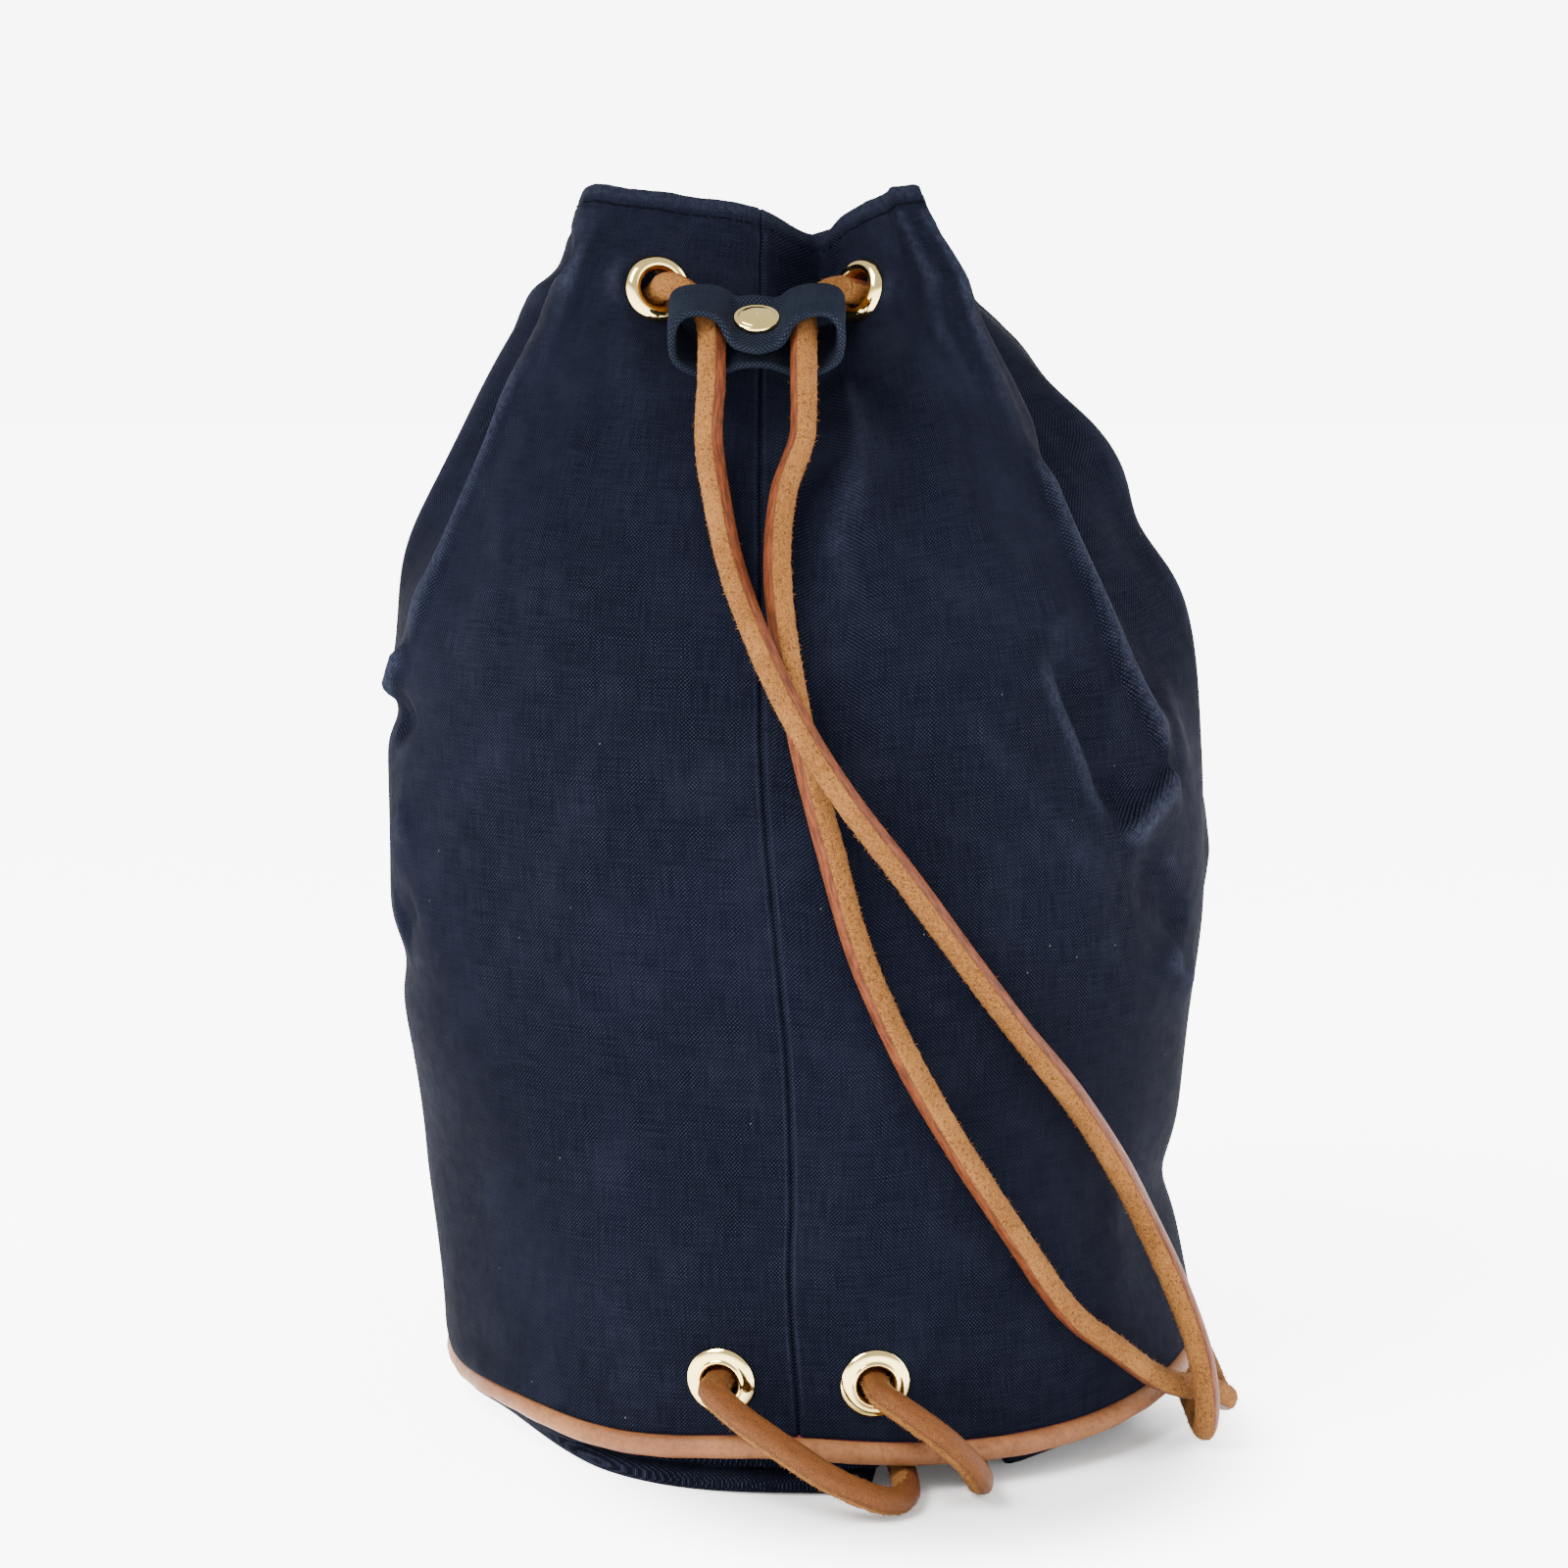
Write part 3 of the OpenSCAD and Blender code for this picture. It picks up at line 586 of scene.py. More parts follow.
def brass_material(name, color, tarnish, low=0.14, high=0.3):
    """Polished pale brass plate with hairline scratches and a little tarnish."""
    n = Nodes(name)
    stain = n.ramp(n.noise(240, 4, 0.6), 0.52, 0.78)
    base = n.mix(n.math("MULTIPLY", stain, 0.3), color, tarnish)
    scratch = n.noise(1.0, 2, vector=n.put_scaled((2600, 260, 2600)))
    rough = n.math("ADD", n.ramp(n.noise(420, 3), 0.3, 0.7, low, high), n.math("MULTIPLY", stain, 0.05))
    height = n.math("ADD", n.math("MULTIPLY", scratch, 0.35), n.noise(350, 2))
    return n.finish(base, rough, n.bump(height, 0.012, 0.3), Metallic=1.0)


def thread_material(name, light, dark):
    """Twisted sewing thread."""
    n = Nodes(name)
    u, v = n.uv()
    twist = n.math("SINE", n.math("MULTIPLY", n.math("ADD", u, n.math("MULTIPLY", v, 26)), 44))
    lay = n.math("MULTIPLY_ADD", twist, 0.5, 0.5)
    color = n.mix(n.math("MULTIPLY", lay, n.ramp(n.noise(1800, 3), 0.3, 0.7, 0.4, 1.0)), dark, light)
    return n.finish(color, n.ramp(n.noise(900, 2), 0.3, 0.7, 0.6, 0.85), n.bump(lay, 0.06, 0.8),
                    Specular_IOR_Level=0.02)


def board_material(name, light, dark):
    """Grey fibreboard and braided filler that the cloth hides."""
    n = Nodes(name)
    color = n.mix(n.ramp(n.noise(700, 5, 0.7), 0.35, 0.65), dark, light)
    return n.finish(color, n.ramp(n.noise(90, 2), 0.3, 0.7, 0.75, 0.95), n.bump(n.noise(2400, 3), 0.1, 0.7))


def put_scaled(self, scale):
    node = self.put("ShaderNodeMapping")
    node.inputs["Scale"].default_value = scale
    self.tree.links.new(self.place(), node.inputs["Vector"])
    return node.outputs[0]


Nodes.put_scaled = put_scaled

NAVY = canvas_material("navy_canvas", (0.0007, 0.0009, 0.0025), (0.0012, 0.0015, 0.0040), (0.0225, 0.0260, 0.0420))
KEEPER_CLOTH = canvas_material("keeper_canvas", (0.0020, 0.0028, 0.0055), (0.0034, 0.0047, 0.0088),
                               (0.0270, 0.0310, 0.0410), pitch=0.95, contrast=0.85)
LINING = canvas_material("lining_canvas", (0.0040, 0.0050, 0.010), (0.0065, 0.0080, 0.0145),
                         (0.020, 0.024, 0.038), pitch=0.8)
CORD = suede_cord_material("suede_cord", (0.225, 0.100, 0.028), (0.112, 0.042, 0.0095), (0.036, 0.0125, 0.0032),
                           (0.100, 0.0260, 0.0085), (0.042, 0.0100, 0.0038), 655)
CORD_B = suede_cord_material("suede_cord_b", (0.225, 0.100, 0.028), (0.112, 0.042, 0.0095), (0.036, 0.0125, 0.0032),
                             (0.100, 0.0260, 0.0085), (0.042, 0.0100, 0.0038), 725)
PIPING = leather_material("piping_leather", (0.150, 0.060, 0.022), (0.108, 0.040, 0.0145), (0.055, 0.018, 0.007))
PIPING_EDGE = leather_material("piping_edge", (0.085, 0.0085, 0.0070), (0.055, 0.0060, 0.0050), (0.020, 0.003, 0.003))
BRASS = brass_material("pale_brass", (0.72, 0.545, 0.20), (0.50, 0.33, 0.10), 0.05, 0.13)
THREAD = thread_material("navy_thread", (0.0016, 0.0020, 0.0040), (0.0006, 0.0008, 0.0018))
BOARD = board_material("base_board", (0.20, 0.19, 0.17), (0.10, 0.095, 0.085))


# ---------------------------------------------------------------- camera

def make_camera():
    data = bpy.data.cameras.new("camera")
    data.sensor_width = 36
    data.lens = 72
    data.clip_end = 60
    cam = bpy.data.objects.new("camera", data)
    cam.location = (-0.0036, -0.743, 0.235)
    cam.rotation_euler = (math.radians(90 - 7), 0, 0)
    bpy.context.scene.collection.objects.link(cam)
    bpy.context.scene.camera = cam


make_camera()


# ---------------------------------------------------------------- cords

MOUTH_ROUTE = (
    (-29.5, -47.5, 260), (-33, -39, 257), (-36, -28, 256.5), (-39, -16, 257.5), (-46.5, -9.5, 260),
    (-51.5, -1.5, 260.5), (-47.5, 7, 260), (-42, 15, 257.5), (-38, 24, 257), (-31.5, 32.5, 257.5),
    (-25.5, 40.5, 260), (-17, 45, 260), (-7, 46, 259.5), (3, 45, 260), (11.5, 40.5, 260),
    (17.5, 32.5, 257.5), (22, 23, 257), (24, 14, 257), (29.5, 6, 260), (34.5, -3, 260.5),
    (30, -12.5, 260), (23, -19.5, 257.5), (18, -25.5, 258), (10, -32, 259.5),
)
STRAP_A = (
    (-29.5, -47.5, 259.5), (-27.5, -51, 259.5), (-24, -53.5, 257.5), (-21, -56, 254.5), (-19.5, -60, 251),
    (-19, -64.5, 247.5), (-19, -68, 243), (-19, -70.5, 237.5), (-19.5, -71, 232), (-19.5, -71.5, 225),
    (-18, -76, 215), (-14.5, -83.5, 199.5), (-8, -93, 183), (0, -96, 167), (9.5, -95.5, 152),
    (21, -91.5, 136.5), (33, -85, 119.5), (46, -79.5, 101.5), (59, -73, 84.5), (69.5, -66, 68),
    (77, -60, 53.5), (84, -60.5, 38.5), (89, -62, 25), (91, -63.5, 14), (91.5, -60, 6), (92, -50, 3),
    (92, -35, 3), (92, -10, 3), (92, 16, 3), (90, 42, 3), (84, 64, 3), (73, 83, 3), (57, 94, 3),
    (45, 93, 3), (38.5, 82, 3), (38, 60, 3), (38, 16, 3), (38, -28, 3), (38, -60, 3), (38.5, -84, 3),
    (38.5, -94, 5), (36, -100.5, 10.5), (30.5, -102.5, 16.5), (23.5, -101.5, 21.5), (18, -98.5, 24.5),
    (16.5, -94, 25), (15, -82.5, 25.5),
)
STRAP_B = (
    (10, -32, 259.5), (7, -35, 259), (4.5, -39.5, 257.5), (2.5, -45, 256.5), (1.5, -50.5, 255.5),
    (0.5, -55.5, 253.5), (0.5, -60, 251), (0.5, -64.5, 247.5), (0.5, -68, 243), (0.5, -70.5, 237.5),
    (0.5, -71, 232), (0, -71.5, 226), (-4, -75.5, 214), (-5, -84.5, 197), (-2.5, -88, 178), (1, -88, 160),
    (6, -88, 141), (12, -88, 119.5), (20.5, -88.5, 99.5), (31.5, -88.5, 79.5), (45, -85, 58),
    (58, -78.5, 38), (70, -70.5, 26.5), (80, -62.5, 17.5), (88, -55, 13), (93.5, -48.5, 10.5),
    (98, -41.5, 6.5), (98.5, -31, 3), (98.5, -12, 3), (98.5, 12, 3), (98.5, 40, 3), (95.5, 70, 3),
    (84, 96, 3), (66, 112, 3), (46, 113, 3), (30, 102, 3), (22.5, 84, 3), (22, 60, 3), (22, 16, 3),
    (22, -28, 3), (22, -72, 3), (22.5, -96, 3), (17, -105, 4.5), (6, -106, 9.5), (-4.5, -103, 15.5),
    (-13, -99.5, 20.5), (-18.5, -96, 24.5), (-18.5, -92, 25), (-15.5, -81, 25.5),
)
CORD_SIDES = 30
CORD_STEP = 0.75
GRAIN_HALF = 0.72  # half width of the grain stripe, in radians round the cord


def cord_radius(rows, run, seed):
    """The cord's section along its run: flat on the grain side, lumpy and napped on the suede side."""
    r = np.random.default_rng(seed)
    t = np.linspace(0, math.tau, CORD_SIDES, endpoint=False) - math.pi
    flat = -0.30 * np.exp(-(t / 0.55) ** 2) + 0.10 * np.exp(-((np.abs(t) - 0.95) / 0.3) ** 2)
    phase = r.uniform(0, math.tau, 4)
    s = run[:, None]
    lump = 0.07 * np.sin(s / 9.1 + phase[0]) + 0.05 * np.sin(s / 4.3 + phase[1])
    oval = 0.10 * np.cos(2 * t + s / 37 + phase[2]) + 0.05 * np.sin(3 * t + s / 13 + phase[3])
    nap = r.normal(0, 0.055, (rows, CORD_SIDES))
    nap = nap + 0.5 * (np.roll(nap, 1, 0) + np.roll(nap, 1, 1))
    suede = smooth((np.abs(t) - GRAIN_HALF) / 0.25)
    return (CORD_R - 0.04) + flat + lump * 0.6 + oval * 0.8 + nap * suede * 0.9


def suede_fibres(path, run, side, other, per_mm, seed):
    """Short loose fibres that stand out from the suede: thin triangles in the cord's own mesh."""
    r = np.random.default_rng(seed)
    count = int(run[-1] * per_mm)
    at = np.sort(r.uniform(1, run[-1] - 1, count))
    k = np.searchsorted(run, at).clip(1, len(run) - 1)
    turn = r.uniform(GRAIN_HALF + 0.15, math.tau - GRAIN_HALF - 0.15, count)
    out = np.cos(turn)[:, None] * side[k] + np.sin(turn)[:, None] * other[k]
    tangent = unit(path[k] - path[k - 1])
    lean = unit(tangent * r.uniform(-1, 1, (count, 1)) + np.cross(tangent, out) * r.uniform(-0.8, 0.8, (count, 1)))
    root = path[k] + out * (CORD_R - 0.12)
    length = r.uniform(0.5, 1.25, (count, 1)) ** 1.4
    tip = root + unit(out * r.uniform(0.25, 0.8, (count, 1)) + lean) * length
    wide = unit(np.cross(tip - root, out)) * 0.085
    bend = (root + tip) / 2 + out * 0.06
    points = np.stack([root - wide, root + wide, bend + 0.7 * wide, bend - 0.7 * wide, tip], 1).reshape(-1, 3)
    points[:, 2] = np.maximum(points[:, 2], 0.05)
    first = np.arange(count)[:, None] * 5
    quads = (first + np.array([[0, 1, 2, 3]])).tolist()
    tips = (first + np.array([[3, 2, 4]])).tolist()
    v = at * UV_MM
    uvs = [(0.95, q) for q in v for _ in range(4)] + [(0.95, q) for q in v for _ in range(3)]
    return points, quads + tips, uvs


def make_cord(name, route, seed_at, seed_dir, fibres_per_mm, seed, material=CORD, end_dir=None, **kw):
    path, run = spline(route, CORD_STEP)
    side, other = carried_frame(path, seed_at, seed_dir)
    if end_dir is not None:
        # The cord twists where it lies behind the bag, so that its grain faces end_dir near the knot
        k = int(np.searchsorted(run, run[-1] - 38))
        angle = math.atan2(float(np.dot(end_dir, other[k])), float(np.dot(end_dir, side[k])))
        side, other = twisted(side, other, run, 0.56 * run[-1], 0.86 * run[-1], angle)
    radius = cord_radius(len(path), run, seed)
    points, faces, uvs = suede_fibres(path, run, side, other, fibres_per_mm, seed + 50)
    # Faces of mixed sizes are added as one list
    return tube(name, path, run, side, other, radius, material, CORD_SIDES,
                extra=(points, faces, uvs), slot="leather", **kw), path


def make_knot(name, seat, seed):
    """An overhand knot in the cord's end, behind the wall."""
    t = np.linspace(0, math.tau, 170)
    x, y, z = np.sin(t) + 2 * np.sin(2 * t), np.cos(t) - 2 * np.cos(2 * t), -np.sin(3 * t)
    scale = 1.75
    centre = seat.centre - seat.normal * (LOW_DEPTH + 9)
    path = centre + scale * (x[:, None] * seat.across + y[:, None] * seat.up + 1.5 * z[:, None] * seat.normal)
    run = np.concatenate([[0], np.cumsum(np.linalg.norm(np.diff(path, axis=0), axis=1))])
    side, other = carried_frame(path, path[0], seat.normal)
    radius = 0.86 * cord_radius(len(path), run, seed)
    return tube(name, path, run, side, other, radius, CORD, CORD_SIDES, slot="leather", stands_for=(name,))


def make_cords():
    knot_a = make_knot("strap_knot_a", LOW_SEATS[1], 31)
    knot_b = make_knot("strap_knot_b", LOW_SEATS[0], 32)
    make_cord("mouth_cord", MOUTH_ROUTE, (-7, 46, 259.5), (0, 0.2, 1), 5, 21, stands_for=("mouth_cord",))
    a, path_a = make_cord("strap_cord_a", STRAP_A, (33, -85, 119.5), (0.75, -0.45, 0.62), 17, 22, end_dir=(0.1, -0.5, 0.86),
                          stands_for=("strap_cord_a",))
    b, path_b = make_cord("strap_cord_b", STRAP_B, (12, -88, 119.5), (-0.85, -0.5, -0.25), 17, 23, CORD_B, (0.1, -0.5, 0.86),
                          stands_for=("strap_cord_b",))


make_cords()


# ---------------------------------------------------------------- the canvas wall

WALL_ROWS = 250
WALL_COLS = 470
HEM_T = 2.1


def wall_columns():
    """Column positions, evenly round the cloth but closer together beside the seam."""
    s = np.linspace(0, 1, 4001) * CLOTH_W
    near = np.minimum(s, CLOTH_W - s)
    density = 1 + 4.5 * np.exp(-(near / 3.5) ** 2)
    total = np.concatenate([[0], np.cumsum(0.5 * (density[1:] + density[:-1]))])
    at = np.interp(np.linspace(0, total[-1], WALL_COLS, endpoint=False), total, s)
    return column_for(at), at


def settle_on_seats(points, seats, flat_r, reach, dip=0.0):
    """Presses the cloth flat under each eyelet, and blends it back into the folds round it."""
    for seat in seats:
        rel = points - seat.centre
        high = rel @ seat.normal
        flat = rel - high[..., None] * seat.normal
        dist = np.linalg.norm(flat, axis=-1)
        w = smooth((reach - dist) / (reach - flat_r)) * (np.abs(high) < 9)
        points -= ((high + dip) * w)[..., None] * seat.normal
    return points


def grid_normals(points, wrap_cols=True):
    du = np.roll(points, -1, 1) - np.roll(points, 1, 1) if wrap_cols else np.gradient(points, axis=1)
    return unit(np.cross(du, np.gradient(points, axis=0)))


def lifted(points):
    """Moves the wall's foot up and down with the piping."""
    fade = 1 - smooth((points[..., 2] - 12) / 30)
    points[..., 2] += foot_lift(points[..., 0], points[..., 1]) * fade
    return points


def seam_drift(z):
    """How far the seam leans round the belly, in millimetres, as the filled bag twists a little."""
    return 5.4 * smooth((168 - z) / 85) - 3.6 * smooth((66 - z) / 50)


# Swells (+) and hollows (-) of the wall's two sides: side (-1 left, 1 right), height, spread and depth
SIDE_SWELLS = (
    (-1, 266, 5, -4), (-1, 200, 15, 2), (-1, 163, 5, -2.5), (-1, 105, 8, -2.5), (-1, 45, 30, 1), (-1, 9, 6, -2),
    (1, 275, 14, -6), (1, 240, 9, -4.5), (1, 205, 11, -4.5), (1, 52, 10, -2.5),
)
WALL_ZS = np.linspace(8, 283, 60)
WALL_XS = wall(np.linspace(0, TURNS, 240, endpoint=False)[None, :], WALL_ZS[:, None])[..., 0]


def neck_shape(points, c, z):
    """Draws the rim's corners in as the cord pulls them, and settles the wall's outline."""
    for at, spread, shift, low, high in ((10.2, 1.5, -11.0, 236, 272), (15.9, 1.3, 5.5, 262, 276),
                                         (4.2, 1.1, -2.8, 262, 279)):
        w = np.exp(-((c - at) / spread) ** 4) * smooth((z - low) / (high - low))
        points[..., 0] += shift * w
    edges = {-1: np.interp(z, WALL_ZS, WALL_XS.min(1)), 1: np.interp(z, WALL_ZS, WALL_XS.max(1))}
    start = points[..., 0].copy()
    for side, height, spread, depth in SIDE_SWELLS:
        w = smooth((20 - side * (edges[side] - start)) / 17)
        points[..., 0] += side * depth * w * np.exp(-((z - height) / spread) ** 2)
    low = edges[-1]
    # The cloth slumps over the piping on the left
    points[..., 0] -= 1.0 * smooth((low + 30 - points[..., 0]) / 25) * np.exp(-((z - 12.5) / 5) ** 2)
    return points


def outer_wall():
    """The wall's outer face as a grid of rows going up, its columns, its cloth widths and its heights."""
    c, s = wall_columns()
    t = np.linspace(0, 1, WALL_ROWS)[:, None]
    z = FOOT_Z + (rim(c)[None, :] - FOOT_Z) * t
    ss = np.broadcast_to(s, z.shape)
    cc = column_for(ss + seam_drift(z))
    points = neck_shape(wall(cc, z), cc, z)
    below_rim = rim(c)[None, :] - z
    offset = cloth_offset(ss + seam_drift(z), z) * smooth(0.25 + (z - 12) / 10)
    hem = 0.42 * smooth((9.5 - below_rim) / 1.5) - 0.42 * np.exp(-((below_rim - 2.9) / 0.55) ** 2)
    hem = hem + 0.16 * np.sin(ss / 1.35) * np.exp(-((below_rim - 2.9) / 1.6) ** 2)
    points += grid_normals(points) * (offset + hem + seam_offset(ss, z))[..., None]
    points = settle_on_seats(points, MOUTH_SEATS, FLANGE_R + 0.6, FLANGE_R + 5.5)
    points = settle_on_seats(points, LOW_SEATS, FLANGE_R + 0.4, FLANGE_R + 6, 0.3)
    return lifted(points), c, s, z


def bend_of(points, reach=5):
    """How sharply the surface bends outwards at each point, 0 to 1: where cloth wears first."""
    n = grid_normals(points)
    wear = 0
    for axis in (0, 1):
        ahead, behind = np.roll(points, -reach, axis), np.roll(points, reach, axis)
        wear = wear + ((points * 2 - ahead - behind) * n).sum(-1) / np.linalg.norm(ahead - behind, axis=-1)
    wear[:reach] = 0
    wear[-reach:] = 0
    return smooth((wear - 0.1) / 0.55)


def make_canvas(points, c, s, z):
    rows, cols = z.shape
    n = grid_normals(points)
    thick = CANVAS_T + (HEM_T - CANVAS_T) * smooth((3.2 - (rim(c)[None, :] - z)) / 2)
    inner = points - n * thick[..., None]
    top, low = points[-1], inner[-1]
    arcs = []
    up = unit(points[-1] - points[-3])
    for a in (0.5, 1.05, 1.57, 2.09, 2.64):
        mid, half = (top + low) / 2, (top - low) / 2
        arcs.append(mid + half * math.cos(a) + up * math.sin(a) * thick[-1][:, None] * 0.5)
    shell = np.concatenate([points, np.stack(arcs), inner[::-1]], 0)
    total = len(shell)
    keep = np.ones((total, cols), bool)
    middle = 0.25 * (points[:-1] + points[1:] + np.roll(points, -1, 1)[:-1] + np.roll(points, -1, 1)[1:])
    holes = np.zeros((rows - 1, cols), bool)
    for seat in MOUTH_SEATS + LOW_SEATS:
        rel = middle - seat.centre
        high = rel @ seat.normal
        dist = np.linalg.norm(rel - high[..., None] * seat.normal, axis=-1)
        holes |= (dist < BORE_R + 1.0) & (np.abs(high) < 6)
    keep[:rows - 1][holes] = False
    back = np.arange(rows - 1)
    keep[total - 2 - back] &= ~holes
    v_rows = np.concatenate([[0], np.cumsum(np.linalg.norm(np.diff(points, axis=0), axis=2).mean(1))])
    v_all = np.concatenate([v_rows, v_rows[-1] + np.arange(1, 6) * 0.5, v_rows[::-1], [v_rows[0]]])
    u_all = np.append(s, CLOTH_W)
    faces, corners = grid_faces(total, cols, True, True, keep)
    u, v = np.meshgrid(u_all * UV_MM, v_all * UV_MM)
    uvs = grid_uvs(corners, u, v).reshape(-1, 2).tolist()
    face_list = faces.tolist()

    def flat_index(j, i, inside):
        return (total - 1 - j if inside else j) * cols + i % cols

    # A short wall joins the outer and inner faces round each hole
    for j, i in zip(*np.nonzero(holes)):
        for dj, di, a, b in ((-1, 0, (0, 0), (0, 1)), (1, 0, (1, 1), (1, 0)),
                             (0, -1, (1, 0), (0, 0)), (0, 1, (0, 1), (1, 1))):
            if holes[j + dj, (i + di) % cols]:
                continue
            p, q = (j + a[0], i + a[1]), (j + b[0], i + b[1])
            face_list.append([flat_index(*p, False), flat_index(*q, False),
                              flat_index(*q, True), flat_index(*p, True)])
            uvs += [(0.0, 0.0)] * 4
    obj = piece("body_canvas", shell.reshape(-1, 3), face_list, NAVY, uvs, slot="canvas",
                stands_for=("body_canvas",))
    wear = bend_of(points)
    rim_wear = 0.55 * smooth((2.6 - (rim(c)[None, :] - z)) / 1.6)
    wear = np.clip(wear + rim_wear, 0, 1)
    attribute = obj.data.attributes.new("wear", "FLOAT", "POINT")
    values = np.concatenate([wear, np.full((5, cols), 0.6), 0 * wear]).ravel()
    attribute.data.foreach_set("value", values.astype(np.float32))
    return obj


def skin(name, c0, c1, z0, z1, depth, thickness, material, slot, columns=240, row_step=2.5, reference=None):
    """A closed layer that follows the wall's folds at a depth below its outer face."""
    whole = c1 - c0 >= TURNS
    widths = np.linspace(float(width_at(c0)), float(width_at(c1)), columns, endpoint=not whole)
    c = column_for(widths) + TURNS * np.floor(widths / CLOTH_W)
    top = z1(c) if callable(z1) else np.full(len(c), z1)
    rows = max(3, int((top.max() - z0) / row_step))
    t = np.linspace(0, 1, rows)[:, None]
    z = z0 + (top[None, :] - z0) * t
    cc, ss = np.broadcast_to(c, z.shape), np.broadcast_to(widths, z.shape)
    points = neck_shape(wall(cc, z), cc % TURNS, z)
    n = grid_normals(points, whole)
    points = points + n * (cloth_offset(ss, z) + seam_offset(ss, z) * 0.6)[..., None]
    points = settle_on_seats(points, MOUTH_SEATS, FLANGE_R + 0.6, FLANGE_R + 5.5)
    points = settle_on_seats(points, LOW_SEATS, FLANGE_R + 0.4, FLANGE_R + 6, 0.3)
    points = lifted(points)
    n = grid_normals(points, whole)
    outer, inner = points - n * depth, points - n * (depth + thickness)
    shell = np.concatenate([outer, inner[::-1]], 0)
    keep = np.ones((len(shell), len(c)), bool)
    middle = outer
    for seat in MOUTH_SEATS + (LOW_SEATS if z0 < LOW_EYELET_Z else []):
        dist = np.linalg.norm(np.cross(middle - seat.centre, seat.normal), axis=-1)
        near = (dist < FLANGE_R + 0.8) & (np.linalg.norm(middle - seat.centre, axis=-1) < 14)
        if z0 < LOW_EYELET_Z:
            near = (dist < BORE_R + 1.2) & (np.linalg.norm(middle - seat.centre, axis=-1) < 14)
        near = near[:-1] | near[1:]
        keep[:rows - 1][near] = False
        keep[len(shell) - 2 - np.arange(rows - 1)] &= ~near
    faces, corners = grid_faces(len(shell), len(c), True, whole, keep[:, :len(c) if whole else len(c) - 1])
    v_rows = z.mean(1)
    v_all = np.concatenate([v_rows, v_rows[::-1], v_rows[:1]])
    u_all = np.append(widths, widths[0] + CLOTH_W) if whole else widths
    u, v = np.meshgrid(u_all * UV_MM, v_all * UV_MM)
    return piece(name, shell.reshape(-1, 3), faces, material, grid_uvs(corners, u, v).reshape(-1, 2),
                 slot=slot, stands_for=(name,))


def stitches(name, centres, headings, normals, length, radius, material, **kw):
    """Short rounded stitches along a line."""
    ring = np.linspace(0, math.tau, 7)[:-1]
    steps = np.linspace(-1, 1, 7)
    points, faces, uvs = [], [], []
    for p, h, n in zip(centres, headings, normals):
        b = np.cross(h, n)
        start = len(points)
        for q in steps:
            r = radius * math.sqrt(max(0.02, 1 - abs(q) ** 3))
            mid = p + h * q * length / 2 - n * radius * 0.9 * q * q
            points += [mid + r * (math.cos(a) * n + math.sin(a) * b) for a in ring]
        for j in range(len(steps) - 1):
            for i in range(6):
                k = (i + 1) % 6
                faces.append([start + j * 6 + i, start + j * 6 + k, start + j * 6 + 6 + k, start + j * 6 + 6 + i])
                uvs += [(i / 6, j * 0.004), ((i + 1) / 6, j * 0.004), ((i + 1) / 6, j * 0.004 + 0.004),
                        (i / 6, j * 0.004 + 0.004)]
        faces.append([start + i for i in range(5, -1, -1)])
        faces.append([start + 36 + i for i in range(6)])
        uvs += [(0.5, 0)] * 12
    return piece(name, points, faces, material, uvs, **kw)


def make_hem_stitches(points, c, s, z):
    n = grid_normals(points)
    below = rim(c)[None, :] - z
    gap, length = 3.1, 2.2
    at = np.arange(gap, CLOTH_W - gap, gap)
    order = np.argsort(s)
    centres, headings, normals = [], [], []
    for target in at:
        i = int(np.searchsorted(s[order], target)) % len(s)
        j = int(np.argmin(np.abs(below[:, i] - 2.9)))
        k = (i + 2) % len(s)
        h = unit(points[j, k] - points[j, i - 2])
        centres.append(points[j, i] + n[j, i] * 0.08)
        headings.append(h)
        normals.append(n[j, i])
    return stitches("hem_stitches", centres, headings, normals, length, 0.24, THREAD, slot="canvas")


wall_points, wall_c, wall_s, wall_z = outer_wall()
make_canvas(wall_points, wall_c, wall_s, wall_z)
make_hem_stitches(wall_points, wall_c, wall_s, wall_z)
skin("mouth_facing", 0, TURNS, 236, lambda c: rim(c) - 1.2, FACING_DEPTH, LINING_T, LINING, "lining", 300, 1.6)
skin("seam_binding", -0.33, 0.33, 27, 222, FACING_DEPTH, LINING_T, LINING, "lining", 9, 3)
skin("strap_patch", -1.33, 2.33, 20, 52, PATCH_DEPTH, LINING_T, NAVY, "canvas", 60, 1.6)


# ---------------------------------------------------------------- the base

BASE_WALL_R, REST_R = 86.4, 70.0
TUNNEL_X, TUNNEL_HALF, TUNNEL_FOOT, TUNNEL_Z = 30.0, 13.0, 17.0, 6.8
PIPING_R, PIPING_RING_R, PIPING_Z = 2.5, 89.7, 9.0


def front_share(a):
    """1 in front of the base and 0 at its sides and back, by direction."""
    a = (a + math.pi) % math.tau - math.pi
    return np.exp(-((a + 1.77) / 0.5) ** 2)


def base_height(r, a, depth=0.0):
    """Height of the base's underside, which droops below the piping in front and drapes over the two cords."""
    edge = foot_lift(BASE_X + r * np.cos(a), r * np.sin(a))
    bulge = front_share(a)
    plain = 6.4 * np.clip((r - REST_R) / (BASE_WALL_R - REST_R), 0, 1) ** (1.25 + 14 * bulge)
    plain = plain + edge * smooth((r - 78) / 8)
    x = BASE_X + r * np.cos(a)
    ridge = TUNNEL_Z * smooth((TUNNEL_FOOT + 0.5 - np.abs(x - TUNNEL_X)) / (TUNNEL_FOOT + 0.5 - TUNNEL_HALF))
    return np.maximum(np.maximum(plain, ridge), 0.05) + depth


